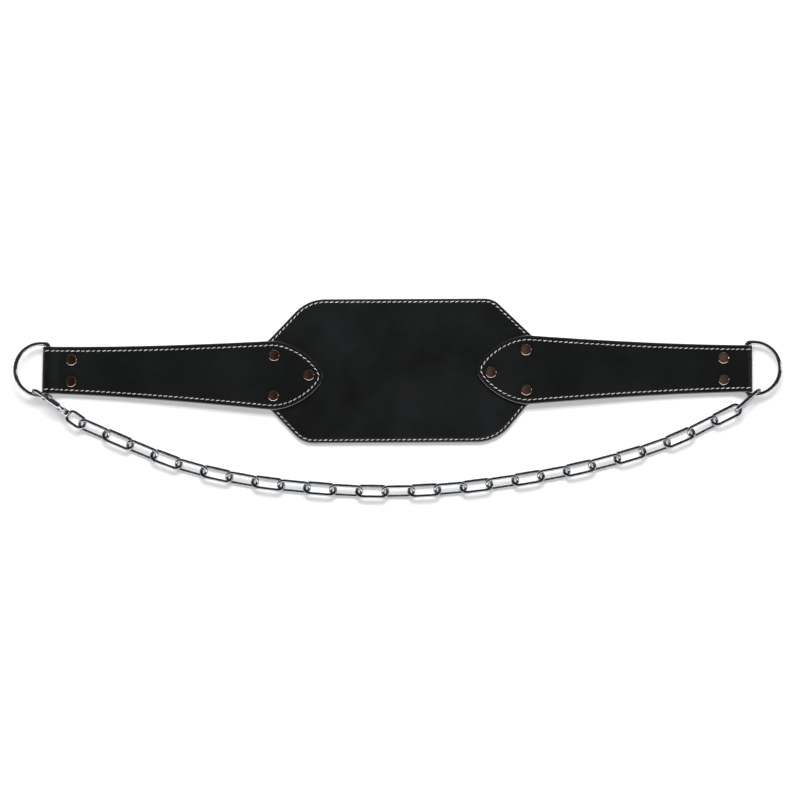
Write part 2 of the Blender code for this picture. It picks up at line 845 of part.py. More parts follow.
def build_swivel_eye(frame, metal):
    """The eye on its stem, rolled to lie nearly flat."""
    roll = Matrix.Rotation(radians(EVEN_LINK_ROLL - HOOK_ROLL), 4, "X")
    eye_frame = frame @ roll
    near = HOOK_LENGTH + EYE_COLLAR_LENGTH + EYE_WIRE / 2 - GAP
    far = HOOK_LENGTH + EYE_LENGTH - EYE_WIRE / 2
    corners = (
        (near, -EYE_HALF, EYE_SHOULDER_ROUNDING),
        (far, -EYE_HALF, EYE_HALF),
        (far, EYE_HALF, EYE_HALF),
        (near, EYE_HALF, EYE_SHOULDER_ROUNDING),
    )
    loop_points, loop_faces = tube(fillet_path(corners), EYE_WIRE / 2, WIRE_SIDES, True)
    eye = make_object("swivel_eye", loop_points, loop_faces, metal)
    eye.matrix_world = eye_frame
    head_end = HOOK_LENGTH - BOSS_LENGTH - GAP
    collar = HOOK_LENGTH + GAP
    soft = EYE_COLLAR_ROUNDING
    stem = turned_piece(
        "eye_stem",
        (
            (0, head_end - EYE_HEAD_THICKNESS),
            (EYE_HEAD_RADIUS, head_end - EYE_HEAD_THICKNESS),
            (EYE_HEAD_RADIUS, head_end),
            (EYE_STEM_RADIUS, head_end),
            (EYE_STEM_RADIUS, collar),
            (EYE_COLLAR_RADIUS, collar),
            (EYE_COLLAR_RADIUS, collar + EYE_COLLAR_LENGTH - soft),
            (EYE_COLLAR_RADIUS - soft, collar + EYE_COLLAR_LENGTH),
            (EYE_WIRE / 2, near + EYE_WIRE / 2 - GAP),
            (0, near + EYE_WIRE / 2 - GAP),
        ),
        TURNED_SIDES,
        eye_frame,
    )
    combine(eye, stem, "UNION")


def oval_path(start, end, half):
    """A round-ended loop between two places along X."""
    path = []
    for middle, bearing in ((end - half, -pi / 2), (start + half, pi / 2)):
        for k in range(LINK_BEND_STEPS + 1):
            turn = bearing + pi * k / LINK_BEND_STEPS
            path.append(Vector((middle + half * cos(turn), half * sin(turn))))
    return path


def build_link(name, start, end, roll, metal):
    """A chain link whose joints with its neighbours lie at two places."""
    run = end - start
    overhang = (LINK_LENGTH - LINK_WIRE - LINK_PITCH) / 2
    path = oval_path(-overhang, LINK_PITCH + overhang, LINK_HALF)
    heading = degrees(atan2(run.y, run.x))
    pitch = -degrees(asin(run.z / run.length))
    link = make_object(name, *tube(path, LINK_WIRE / 2, LINK_SIDES, True), metal)
    turn = posed(heading, pitch, roll)
    middle = start + run / 2
    back = turn @ Vector((-LINK_PITCH / 2, 0, 0))
    link.matrix_world = Matrix.Translation(middle + back) @ turn


def chain_joints(start, end):
    """Joints a pitch apart along the route, with the whole links that its drop takes."""
    span = Vector((end.x - start.x, end.y - start.y))
    side = Vector((span.y, -span.x)).normalized()

    def route(depth):
        points = [start.xy + span * along + side * (depth * down) for along, down in CHAIN_ROUTE]
        return smooth_curve(points, ROUTE_STEPS)

    def walk(curve):
        joints = [curve[0]]
        for before, after in zip(curve, curve[1:]):
            while (after - joints[-1]).length >= LINK_PITCH and len(joints) < link_count:
                step = after - before
                low, high = 0.0, 1.0
                for _ in range(SEARCH_STEPS):
                    middle = (low + high) / 2
                    near = (before + step * middle - joints[-1]).length < LINK_PITCH
                    low, high = (middle, high) if near else (low, middle)
                joints.append(before + step * high)
        return joints

    chosen = route(CHAIN_DROP)
    chain_length = sum((after - before).length for before, after in zip(chosen, chosen[1:]))
    link_count = round(chain_length / LINK_PITCH)
    shallow, deep = 0.0, span.length
    for _ in range(SEARCH_STEPS):
        depth = (shallow + deep) / 2
        joints = walk(route(depth))
        reached = len(joints) == link_count and (end.xy - joints[-1]).length >= LINK_PITCH
        shallow, deep = (shallow, depth) if reached else (depth, deep)
    flat = walk(route(deep)) + [end.xy]
    heights = [start.z] + [CHAIN_Z] * (link_count - 1) + [end.z]
    return [Vector((joint.x, joint.y, z)) for joint, z in zip(flat, heights)]


def place_hook():
    """The left side: the hook rests on the floor and the D-ring's leg rests on its spine."""
    turn = posed(HOOK_HEADING, HOOK_PITCH, HOOK_ROLL)
    lowest = min((turn @ Vector((p.x, p.y, 0))).z for p in hook_path()) - HOOK_WIRE / 2
    spine_top = turn @ Vector((HOOK_HANG, -HOOK_HALF, 0))
    leg_z = spine_top.z - lowest + (HOOK_WIRE + RING_WIRE) / 2 + RING_REST_GAP
    ring = ring_frame(LEFT, leg_z)
    hang = ring @ Vector((RING_LEG, RING_HALF, 0))
    wire_up = -HOOK_HALF + (HOOK_WIRE + RING_WIRE) / 2
    offset = turn @ Vector((HOOK_HANG, wire_up, 0))
    origin = Vector((hang.x - offset.x, hang.y - offset.y, -lowest))
    return ring, Matrix.Translation(origin) @ turn


def place_end_link():
    """The right side: the end link rests on the floor and the D-ring's leg on its lower wire."""
    turn = posed(END_LINK_HEADING, 0, END_LINK_ROLL)
    axis_z = END_LINK_HALF * sin(radians(END_LINK_ROLL)) + END_LINK_WIRE / 2
    leg_z = END_LINK_WIRE + RING_WIRE / 2 + RING_REST_GAP
    ring = ring_frame(RIGHT, leg_z)
    hang = ring @ Vector((RING_LEG, -RING_HALF, 0))
    offset = turn @ Vector((END_LINK_HANG, 0, 0))
    origin = Vector((hang.x - offset.x, hang.y - offset.y, axis_z))
    return ring, Matrix.Translation(origin) @ turn


def build_end_link(frame, metal):
    near = -(END_LINK_WIRE + LINK_SLACK) / 2
    far = near + END_LINK_LENGTH - END_LINK_WIRE
    path = oval_path(near, far, END_LINK_HALF)
    link = make_object("end_link", *tube(path, END_LINK_WIRE / 2, LINK_SIDES, True), metal)
    link.matrix_world = frame


def build_chain(hook, end_link, metal):
    eye_far = HOOK_LENGTH + EYE_LENGTH - EYE_WIRE / 2
    start = hook @ Vector((eye_far - (EYE_WIRE + LINK_SLACK) / 2, 0, 0))
    joints = chain_joints(start, end_link.translation)
    for number in range(1, len(joints)):
        roll = ODD_LINK_ROLL if number % 2 else EVEN_LINK_ROLL
        name = f"link_{number:02d}"
        build_link(name, joints[number - 1], joints[number], roll, metal)


def main():
    clear_scene()
    pad_leather = material("pad_leather", (0.012, 0.012, 0.013), 0.50, 0.0)
    strap_leather = material("strap_leather", (0.010, 0.010, 0.011), 0.45, 0.0)
    chrome = material("chrome_steel", (0.62, 0.62, 0.64), 0.12, 1.0)
    chain_steel = material("chain_steel", (0.55, 0.56, 0.57), 0.22, 1.0)
    rivet_metal = material("rivet_nickel", (0.55, 0.48, 0.42), 0.18, 1.0)

    left_cutter = build_strap(LEFT, strap_leather, rivet_metal)
    right_cutter = build_strap(RIGHT, strap_leather, rivet_metal)
    build_pad(pad_leather, (left_cutter, right_cutter))

    left_ring, hook = place_hook()
    right_ring, end_link = place_end_link()
    build_ring(LEFT, left_ring, chrome)
    build_ring(RIGHT, right_ring, chrome)
    build_hook_body(hook, chrome)
    build_hook_bolt(hook, chrome)
    build_swivel_eye(hook, chrome)
    build_end_link(end_link, chain_steel)
    build_chain(hook, end_link, chain_steel)


main()
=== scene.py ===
"""The looks of a dip belt laid flat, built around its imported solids.

Units are metres. The frame's origin is the middle of the pad's underside, on the floor.
+X runs along the belt and +Y towards the pad's upper edge, away from the chain.
"""

from collections import namedtuple
from math import atan2, ceil, cos, pi, radians, sin, tan

import bmesh
import bpy
import numpy as np
from mathutils import Matrix, Vector, noise
from mathutils.geometry import delaunay_2d_cdt


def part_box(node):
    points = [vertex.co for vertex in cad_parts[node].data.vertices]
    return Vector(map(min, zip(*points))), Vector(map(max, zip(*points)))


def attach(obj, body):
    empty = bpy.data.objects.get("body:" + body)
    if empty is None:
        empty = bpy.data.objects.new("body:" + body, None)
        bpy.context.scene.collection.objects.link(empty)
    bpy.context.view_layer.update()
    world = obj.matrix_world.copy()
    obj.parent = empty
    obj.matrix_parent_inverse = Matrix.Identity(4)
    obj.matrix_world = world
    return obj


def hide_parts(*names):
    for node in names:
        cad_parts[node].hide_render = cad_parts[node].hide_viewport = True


GAP = 0.0003

# Back pad
PAD_LENGTH = 0.316
PAD_HEIGHT = 0.1518
PAD_THICKNESS = 0.0063
PAD_EDGE_THICKNESS = 0.0050
PAD_CROWN_WIDTH = 0.007
PAD_EDGE_ROUNDING = 0.0014
PAD_NECK_ROUNDING = 0.016
PAD_TAB_ROUNDING = 0.011
PAD_TAB_TUCK = 0.0015
PAD_WAVE = 0.00015
PAD_GRID = 0.006
PAD_GRID_CLEARANCE = 0.7
PAD_OUTLINE_STEP = 0.004

# Straps
STRAP_THICKNESS = 0.0034
STRAP_END_WIDTH = 0.0496
STRAP_ROOT_WIDTH = 0.0725
STRAP_FLARE_POWER = 1.6
STRAP_EDGE_ROUNDING = 0.0014
TIP_LENGTH = 0.0546
TIP_SHOULDER_PULL = 0.50
TIP_NOSE_PULL = 0.32
FLAP_LENGTH = 0.045
LOOP_LENGTH = 0.024
LOOP_LIFT = 0.0015
LOOP_CLEARANCE = 0.00035
LOOP_START_BEARING = 115.0
LOOP_END_BEARING = -82.0
LOOP_PULL = 0.4
STRAP_WAVE = 0.00012
UNDERSIDE_LIFT = 0.0004
MITRE_FLOOR = 0.5

# Leather laying and stitching
TIP_STEPS = 36
STRAIGHT_STEP = 0.0025
LOOP_STEP = 0.0005
ACROSS_STEPS = 26
WAVE_SCALE = 28.0
STRAP_STITCH_INSET = 0.0047
PAD_STITCH_INSET = 0.0034
GROOVE_WIDTH = 0.0024
GROOVE_DEPTH = 0.00035
GROOVE_PROFILE = ((-1.0, 0.0), (-0.5, 0.6), (0.0, 1.0), (0.5, 0.6), (1.0, 0.0))
EDGE_FADE = 1.8
STITCH_PITCH = 0.0055
STITCH_LENGTH = 0.0047
STITCH_RADIUS = 0.00055
STITCH_SLANT = 13.0
STITCH_END = 0.06
STITCH_ARCH = 0.95
STITCH_SUNK = 0.60
STITCH_FLATNESS = 0.8
STITCH_RINGS = 8
STITCH_SIDES = 10

# Rivets
RIVET_HEAD_RADIUS = 0.0060
RIVET_FACE_RADIUS = 0.0046
RIVET_HEAD_HEIGHT = 0.0016
RIVET_CAP_RADIUS = 0.0045
RIVET_DENT = 0.00040
RIVET_SIDES = 64
RIVETS_A_SIDE = 5
RIVET_SKIRT_SHARE = 0.97
RIVET_RIM_SHARE = 0.2
RIVET_DISH = ((0.93, 0.985), (0.5, 0.96), (0.0, 0.95))

# D-rings
RING_WIRE = 0.0046
RING_SIDE_PLAY = 0.0004
RING_LEG = 0.0075
RING_CORNER = 0.0035

# Snap hook
HOOK_WIRE = 0.0042
HOOK_WIDTH = 0.0178
HOOK_LENGTH = 0.043
HOOK_MOUTH = 0.0175
HOOK_TONGUE = 0.0118
HOOK_BRIDGE_WIDTH = 0.0090
HOOK_BRIDGE_ROUNDING = 0.0029
BARREL_RADIUS = 0.0033
BARREL_LENGTH = 0.0155
BARREL_END_RADIUS = 0.0020
BOLT_RADIUS = 0.0015
BOLT_GRIP = 0.0095
KNOB_RADIUS = 0.0024
KNOB_THICKNESS = 0.0016
KNOB_STEM_RADIUS = 0.0010
KNOB_STEM_FROM_MOUTH = 0.0028
KNOB_TURN = 40.0
BOSS_RADIUS = 0.0042
BOSS_LENGTH = 0.0047
HOOK_HEADING = -34.5
HOOK_PITCH = 4.0
HOOK_ROLL = 75.0
EYE_ROLL = -22.0

# Swivel eye
EYE_WIRE = 0.0037
EYE_WIDTH = 0.0163
EYE_LENGTH = 0.0257
EYE_SHOULDER_ROUNDING = 0.0050
EYE_STEM_RADIUS = 0.0017
EYE_HEAD_RADIUS = 0.0027
EYE_HEAD_THICKNESS = 0.0014
EYE_COLLAR_RADIUS = 0.0045
EYE_COLLAR_LENGTH = 0.0022

# Links
LINK_WIRE = 0.0035
LINK_WIDTH = 0.0155
LINK_LENGTH = 0.0361
END_LINK_WIRE = 0.0040
END_LINK_WIDTH = 0.0155
END_LINK_LENGTH = 0.0370
WELD_SWELL = 0.06
WELD_LENGTH = 0.0022

# Facets of the smooth metal
WIRE_SIDES = 20
BEND_STEP = 5.0
STRAIGHT_WIRE_STEP = 0.002
SOFTENED_SHARE = 0.45
CAST_VOXEL = 0.00028
CAST_SMOOTHING = 6

# View
VIEW_CENTRE = (0.00105, -0.03045)
VIEW_WIDTH = 0.840
CAMERA_HEIGHT = 4.0
SENSOR_WIDTH = 36.0

# Tones from dark to light
PAD_BLACK = ((0.0065, 0.0075, 0.0070), (0.0140, 0.0150, 0.0165))
STRAP_BLACK = ((0.0060, 0.0068, 0.0068), (0.0120, 0.0130, 0.0135))
EDGE_PAINT = (0.014, 0.014, 0.015)
CHROME_TONES = ((0.40, 0.40, 0.43), (0.52, 0.52, 0.55))
CHAIN_TONES = ((0.28, 0.30, 0.32), (0.40, 0.42, 0.44))
RIVET_TONES = ((0.48, 0.35, 0.29), (0.66, 0.52, 0.44))

# Light
Panel = namedtuple("Panel", "name place width height power seen_in")
PANELS = (
    Panel("north_key", (0.0, 1.7, 2.1), 2.0, 1.3, 88.0, "diffuse"),
    Panel("south_panel", (-0.1, -2.0, 0.85), 7.0, 0.9, 66.0, "glossy"),
    Panel("east_strip", (1.6, 0.1, 0.8), 0.3, 0.3, 2.5, "glossy"),
)
FLOOR_HALF = 3.0
FLOOR_GLOW = 0.44
ROOM = (0.045, 0.043, 0.043)
CEILING = (
    (0.10, (0.026, 0.015, 0.013)),
    (0.50, (0.055, 0.041, 0.036)),
    (0.90, (0.130, 0.108, 0.090)),
)
CEILING_SPREAD = 5.0
CEILING_EDGE = ((0.90, 0.0), (0.97, 1.0))

Corner = namedtuple("Corner", "along_share up_share rounding_share")
PAD_CORNERS = {
    "lower left": Corner(-0.640, -1.003, 0.178),
    "lower right": Corner(0.650, -0.988, 0.300),
    "upper right": Corner(0.625, 1.003, 0.145),
    "upper left": Corner(-0.606, 0.992, 0.280),
}
PAD_NECKS = {
    "lower left": -0.864,
    "lower right": 0.8646,
    "upper right": 0.894,
    "upper left": -0.882,
}

Strap = namedtuple("Strap", "side apex_share apex_up heading length")
LEFT = Strap("left", -0.502, -0.0060, 180.0 - 1.36, 0.2945)
RIGHT = Strap("right", 0.514, 0.0009, 0.31, 0.2892)

# Sizes that follow from the ones above
LAYER_MIDDLE = STRAP_THICKNESS / 2
FLAP_Z = LAYER_MIDDLE
UPPER_Z = STRAP_THICKNESS + GAP + LAYER_MIDDLE
PAD_STRAP_Z = PAD_THICKNESS + GAP + LAYER_MIDDLE
LOOP_RADIUS = RING_WIRE / 2 + LOOP_CLEARANCE + LAYER_MIDDLE
BAR_FROM_FOLD = LOOP_RADIUS + LAYER_MIDDLE
BAR_Z = LOOP_LIFT + STRAP_THICKNESS + LOOP_CLEARANCE + RING_WIRE / 2
RING_HALF = STRAP_END_WIDTH / 2 + RING_SIDE_PLAY + RING_WIRE / 2
HOOK_HALF = (HOOK_WIDTH - HOOK_WIRE) / 2
EYE_HALF = (EYE_WIDTH - EYE_WIRE) / 2

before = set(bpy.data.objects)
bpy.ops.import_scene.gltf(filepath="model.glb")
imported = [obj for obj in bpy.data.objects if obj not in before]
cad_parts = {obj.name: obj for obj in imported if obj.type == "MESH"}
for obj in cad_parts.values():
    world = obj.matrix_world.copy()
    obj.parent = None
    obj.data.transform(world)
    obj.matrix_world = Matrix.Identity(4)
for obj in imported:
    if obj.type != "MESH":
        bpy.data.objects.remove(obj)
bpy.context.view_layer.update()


# Node helpers


def new_material(name):
    made = bpy.data.materials.new(name)
    made.use_nodes = True
    return made, made.node_tree, made.node_tree.nodes["Principled BSDF"]


def texture(tree, kind, scale, **sockets):
    """A procedural texture on the object's own coordinates."""
    coordinates = tree.nodes.get("Texture Coordinate") or tree.nodes.new("ShaderNodeTexCoord")
    node = tree.nodes.new(kind)
    tree.links.new(coordinates.outputs["Object"], node.inputs["Vector"])
    node.inputs["Scale"].default_value = scale
    for socket, value in sockets.items():
        node.inputs[socket].default_value = value
    return node


def ramp(tree, source, stops):
    """A colour ramp over a value, from (place, colour or grey) stops."""
    node = tree.nodes.new("ShaderNodeValToRGB")
    tree.links.new(source, node.inputs["Fac"])
    elements = node.color_ramp.elements
    while len(elements) < len(stops):
        elements.new(0.5)
    for element, (place, colour) in zip(elements, stops):
        grey = not hasattr(colour, "__len__")
        element.position = place
        element.color = (colour, colour, colour, 1.0) if grey else (*colour, 1.0)
    return node.outputs["Color"]


def mixed(tree, factor, first, second, mode="MIX"):
    """Two colours mixed by a factor. Each may be a socket or a fixed value."""
    node = tree.nodes.new("ShaderNodeMix")
    node.data_type = "RGBA"
    node.blend_type = mode
    for socket, value in ((node.inputs[0], factor), (node.inputs[6], first), (node.inputs[7], second)):
        if isinstance(value, bpy.types.NodeSocket):
            tree.links.new(value, socket)
        elif hasattr(value, "__len__"):
            socket.default_value = (*value, 1.0)
        else:
            socket.default_value = value
    return node.outputs[2]


def bumped(tree, height, strength, distance, below=None):
    node = tree.nodes.new("ShaderNodeBump")
    node.inputs["Strength"].default_value = strength
    node.inputs["Distance"].default_value = distance
    tree.links.new(height, node.inputs["Height"])
    if below:
        tree.links.new(below, node.inputs["Normal"])
    return node.outputs["Normal"]


def attribute(tree, name):
    node = tree.nodes.new("ShaderNodeAttribute")
    node.attribute_name = name
    return node.outputs["Fac"]


# Materials


def leather(name, dark, light, roughness):
    """Black grained leather whose cut edge is painted and polished."""
    made, tree, shader = new_material(name)
    cloud = texture(tree, "ShaderNodeTexNoise", 14.0, Detail=3.0)
    grain = texture(tree, "ShaderNodeTexVoronoi", 1100.0)
    fine = texture(tree, "ShaderNodeTexNoise", 900.0, Detail=4.0)
    scuff = texture(tree, "ShaderNodeTexNoise", 60.0, Detail=6.0)
    edge = attribute(tree, "edge")
    tone = ramp(tree, cloud.outputs["Fac"], ((0.35, dark), (0.70, light)))
    speckle = ramp(tree, fine.outputs["Fac"], ((0.30, 0.70), (0.75, 1.20)))
    face = mixed(tree, 1.0, tone, speckle, "MULTIPLY")
    tree.links.new(mixed(tree, edge, face, EDGE_PAINT), shader.inputs["Base Color"])
    low, high = roughness - 0.06, roughness + 0.10
    face_roughness = ramp(tree, scuff.outputs["Fac"], ((0.30, low), (0.75, high)))
    tree.links.new(mixed(tree, edge, face_roughness, (0.26, 0.26, 0.26)), shader.inputs["Roughness"])
    pebbles = bumped(tree, grain.outputs["Distance"], 0.35, 0.00012)
    surface = bumped(tree, fine.outputs["Fac"], 0.25, 0.00010, pebbles)
    tree.links.new(surface, shader.inputs["Normal"])
    shine = mixed(tree, edge, (0.30, 0.30, 0.30), (1.0, 1.0, 1.0))
    tree.links.new(shine, shader.inputs["Specular IOR Level"])
    tree.links.new(edge, shader.inputs["Coat Weight"])
    shader.inputs["Coat Roughness"].default_value = 0.15
    return made


def thread_material():
    """White twisted thread, a little soiled."""
    made, tree, shader = new_material("stitching_thread")
    soil = texture(tree, "ShaderNodeTexNoise", 260.0, Detail=2.0)
    tone = ramp(tree, soil.outputs["Fac"], ((0.30, (0.55, 0.55, 0.54)), (0.60, (0.90, 0.90, 0.88))))
    tree.links.new(tone, shader.inputs["Base Color"])
    shader.inputs["Roughness"].default_value = 0.75
    uv = tree.nodes.new("ShaderNodeUVMap")
    twist = tree.nodes.new("ShaderNodeTexWave")
    twist.bands_direction = "DIAGONAL"
    twist.inputs["Scale"].default_value = 2.2
    tree.links.new(uv.outputs["UV"], twist.inputs["Vector"])
    tree.links.new(bumped(tree, twist.outputs["Fac"], 0.6, 0.0002), shader.inputs["Normal"])
    return made


def metal(name, dark, light, roughness, wear):
    """Plated metal with faint clouding and hair scratches."""
    made, tree, shader = new_material(name)
    cloud = texture(tree, "ShaderNodeTexNoise", 90.0, Detail=4.0)
    scratches = texture(tree, "ShaderNodeTexNoise", 700.0, Detail=5.0)
    tone = ramp(tree, cloud.outputs["Fac"], ((0.30, dark), (0.70, light)))
    tree.links.new(tone, shader.inputs["Base Color"])
    shader.inputs["Metallic"].default_value = 1.0
    gloss = ramp(tree, scratches.outputs["Fac"], ((0.30, roughness), (0.80, roughness + wear)))
    tree.links.new(gloss, shader.inputs["Roughness"])
    tree.links.new(bumped(tree, scratches.outputs["Fac"], 0.05, 0.00004), shader.inputs["Normal"])
    return made


def floor_material():
    made, tree, shader = new_material("pale_floor")
    cloud = texture(tree, "ShaderNodeTexNoise", 3.0, Detail=2.0)
    tone = ramp(tree, cloud.outputs["Fac"], ((0.3, 0.88), (0.7, 0.90)))
    tree.links.new(tone, shader.inputs["Base Color"])
    shader.inputs["Roughness"].default_value = 0.9
    shader.inputs["Emission Color"].default_value = (1.0, 1.0, 1.0, 1.0)
    shader.inputs["Emission Strength"].default_value = FLOOR_GLOW
    return made


# Mesh helpers


def make_object(name, points, faces, finish):
    mesh = bpy.data.meshes.new(name)
    mesh.from_pydata([tuple(point) for point in points], [], faces)
    tidy = bmesh.new()
    tidy.from_mesh(mesh)
    bmesh.ops.recalc_face_normals(tidy, faces=tidy.faces)
    tidy.to_mesh(mesh)
    tidy.free()
    mesh.shade_smooth()
    mesh.materials.append(finish)
    obj = bpy.data.objects.new(name, mesh)
    bpy.context.scene.collection.objects.link(obj)
    return obj


def add_piece(obj, nodes, body="belt"):
    """Lets a piece stand for its CAD nodes and ride on their body."""
    if nodes:
        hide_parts(*nodes)
    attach(obj, body)
    return obj


def bridge(first, second, count):
    """Quads between two rings of points that start at these indices."""
    return [(first + i, first + (i + 1) % count, second + (i + 1) % count, second + i) for i in range(count)]


def fillet_path(corners, step):
    """A flat closed or open path through corners (x, y, radius), with each corner rounded."""
    path = []
    count = len(corners)
    for i, (x, y, radius) in enumerate(corners):
        here = Vector((x, y))
        if radius == 0:
            path.append(here)
            continue
        before = Vector(corners[i - 1][:2]) - here
        after = Vector(corners[(i + 1) % count][:2]) - here
        turn = pi - before.angle(after)
        reach = min(radius * tan(turn / 2), before.length / 2, after.length / 2)
        radius = reach / tan(turn / 2)
        middle = (before.normalized() + after.normalized()).normalized()
        centre = here + middle * (radius / cos(turn / 2))
        start = here + before.normalized() * reach
        finish = here + after.normalized() * reach
        steps = max(2, ceil(turn / radians(step)))
        angle = atan2(start.y - centre.y, start.x - centre.x)
        sweep = atan2(finish.y - centre.y, finish.x - centre.x) - angle
        sweep = (sweep + pi) % (2 * pi) - pi
        for k in range(steps + 1):
            bearing = angle + sweep * k / steps
            path.append(centre + radius * Vector((cos(bearing), sin(bearing))))
    return path


def filled_in(path, spacing, closed):
    """A path whose long straight runs get points between their ends."""
    dense = []
    pairs = list(zip(path, path[1:] + path[:1])) if closed else list(zip(path, path[1:]))
    for start, end in pairs:
        length = (end - start).length
        if length < 1e-7:
            continue
        steps = max(1, round(length / spacing))
        dense += [start + (end - start) * (k / steps) for k in range(steps)]
    if not closed:
        dense.append(path[-1])
    return dense


def path_normals(path, closed):
    """Left-hand normals of a flat path, lengthened at its turns to keep the width."""
    normals = []
    count = len(path)
    for i, here in enumerate(path):
        at_start = not closed and i == 0
        at_end = not closed and i == count - 1
        before = here if at_start else path[i - 1]
        after = here if at_end else path[(i + 1) % count]
        first = (after - here if at_start else here - before).normalized()
        second = (here - before if at_end else after - here).normalized()
        along = (first + second).normalized()
        stretch = 1 / max(MITRE_FLOOR, along.dot(first))
        normals.append(Vector((-along.y, along.x)) * stretch)
    return normals


def tube(path, radius, closed, swell=None):
    """Points and faces of a round wire along a flat path, swollen where a function says."""
    points = []
    faces = []
    for here, normal in zip(path, path_normals(path, closed)):
        wide = radius * (1 + swell(here)) if swell else radius
        for k in range(WIRE_SIDES):
            turn = 2 * pi * k / WIRE_SIDES
            across = here + normal * (wide * cos(turn))
            points.append((across.x, across.y, wide * sin(turn)))
    rows = len(path)
    for i in range(rows if closed else rows - 1):
        faces += bridge(i * WIRE_SIDES, ((i + 1) % rows) * WIRE_SIDES, WIRE_SIDES)
    if not closed:
        faces.append(tuple(range(WIRE_SIDES)))
        faces.append(tuple(range((rows - 1) * WIRE_SIDES, rows * WIRE_SIDES)))
    return points, faces


def turned(profile, sides):
    """Points and faces of a profile (radius, height) turned about Z, closed on the axis."""
    points = [(0.0, 0.0, profile[0][1])]
    for radius, height in profile[1:-1]:
        for k in range(sides):
            turn = 2 * pi * k / sides
            points.append((radius * cos(turn), radius * sin(turn), height))
    points.append((0.0, 0.0, profile[-1][1]))
    faces = []
    rows = len(profile) - 2
    for k in range(sides):
        following = (k + 1) % sides
        faces.append((0, 1 + k, 1 + following))
        start = 1 + (rows - 1) * sides
        faces.append((len(points) - 1, start + following, start + k))
    for row in range(rows - 1):
        faces += bridge(1 + row * sides, 1 + (row + 1) * sides, sides)
    return points, faces


def moved(shape, transform):
    points, faces = shape
    return [tuple(transform @ Vector(point)) for point in points], faces


def joined(shapes):
    """The points and faces of several shapes as those of one."""
    points = []
    faces = []
    for shape_points, shape_faces in shapes:
        start = len(points)
        points += shape_points
        faces += [tuple(start + i for i in face) for face in shape_faces]
    return points, faces


def softened(profile, radius, steps=4):
    """A turned profile whose inner corners are rounded."""
    soft = [profile[0]]
    for i in range(1, len(profile) - 1):
        here = Vector(profile[i])
        before = Vector(profile[i - 1]) - here
        after = Vector(profile[i + 1]) - here
        reach = min(radius, before.length * SOFTENED_SHARE, after.length * SOFTENED_SHARE)
        start = here + before.normalized() * reach
        end = here + after.normalized() * reach
        for k in range(steps + 1):
            share = k / steps
            curve = start * (1 - share) ** 2 + here * (2 * share * (1 - share)) + end * share**2
            soft.append((curve.x, curve.y))
    soft.append(profile[-1])
    return soft


def bezier(start, pull_start, pull_end, end, share):
    rest = 1 - share
    return (
        start * rest**3
        + pull_start * (3 * rest**2 * share)
        + pull_end * (3 * rest * share**2)
        + end * share**3
    )


def smoothstep(share):
    share = min(1.0, max(0.0, share))
    return share * share * (3 - 2 * share)


def wave(x, y, size, seed):
    """A slow unevenness of the leather between 0 and minus its size."""
    return -size * (0.5 + 0.5 * noise.noise(Vector((x * WAVE_SCALE, y * WAVE_SCALE, seed))))


def edge_profile(low, high, rounding, groove_at):
    """Rows (inset, height, is_edge) round a cut edge and across the stitches' channel."""
    rows = [(rounding, low, 0.0)]
    for angle in (30, 60, 90):
        turn = radians(angle)
        rows.append((rounding * (1 - sin(turn)), low + rounding * (1 - cos(turn)), 1.0))
    for angle in (90, 60, 30):
        turn = radians(angle)
        rows.append((rounding * (1 - sin(turn)), high - rounding * (1 - cos(turn)), 1.0))
    rows.append((rounding, high, 0.3))
    rows.append((rounding * EDGE_FADE, high, 0.0))
    for share, depth in GROOVE_PROFILE:
        rows.append((groove_at + share * GROOVE_WIDTH / 2, high - depth * GROOVE_DEPTH, 0.0))
    return rows


# Straps


def strap_frame(strap):
    """The strap's own frame: X from the tip to the fold, Y across, Z up."""
    place = Vector((strap.apex_share * PAD_LENGTH / 2, strap.apex_up, 0))
    return Matrix.Translation(place) @ Matrix.Rotation(radians(strap.heading), 4, "Z")


def strap_half_width(strap, from_tip):
    tapered = strap.length - TIP_LENGTH
    share = min(1.0, max(0.0, (strap.length - from_tip) / tapered))
    growth = (STRAP_ROOT_WIDTH - STRAP_END_WIDTH) / 2
    return STRAP_END_WIDTH / 2 + growth * share**STRAP_FLARE_POWER


def strap_edge(strap, x, upper):
    """The height in the plan of the strap's edge at a place along the belt."""
    heading = radians(strap.heading)
    from_tip = (x - strap.apex_share * PAD_LENGTH / 2) / cos(heading)
    half = strap_half_width(strap, from_tip)
    return strap.apex_up + from_tip * sin(heading) + (half if upper else -half)


def loop_path(bar, pinch_x):
    """The middle of the leather round the ring's bar, seen from the side."""

    def on_arc(bearing):
        return bar + LOOP_RADIUS * Vector((cos(bearing), sin(bearing)))

    def run_at(bearing):
        return Vector((sin(bearing), -cos(bearing)))

    first, last = radians(LOOP_START_BEARING), radians(LOOP_END_BEARING)
    level = Vector((1, 0))
    upper, lower = Vector((pinch_x, UPPER_Z)), Vector((pinch_x, FLAP_Z))
    upper_pull = (on_arc(first) - upper).length * LOOP_PULL
    lower_pull = (on_arc(last) - lower).length * LOOP_PULL
    rise = (upper, upper + level * upper_pull, on_arc(first) - run_at(first) * upper_pull)
    fall = (on_arc(last), on_arc(last) + run_at(last) * lower_pull, lower + level * lower_pull)
    side_steps = round((on_arc(first) - upper).length / LOOP_STEP)
    arc_steps = round(LOOP_RADIUS * (first - last) / LOOP_STEP)
    path = [bezier(*rise, on_arc(first), k / side_steps) for k in range(side_steps)]
    path += [on_arc(first + (last - first) * k / arc_steps) for k in range(arc_steps)]
    path += [bezier(*fall, lower, k / side_steps) for k in range(side_steps)]
    return path


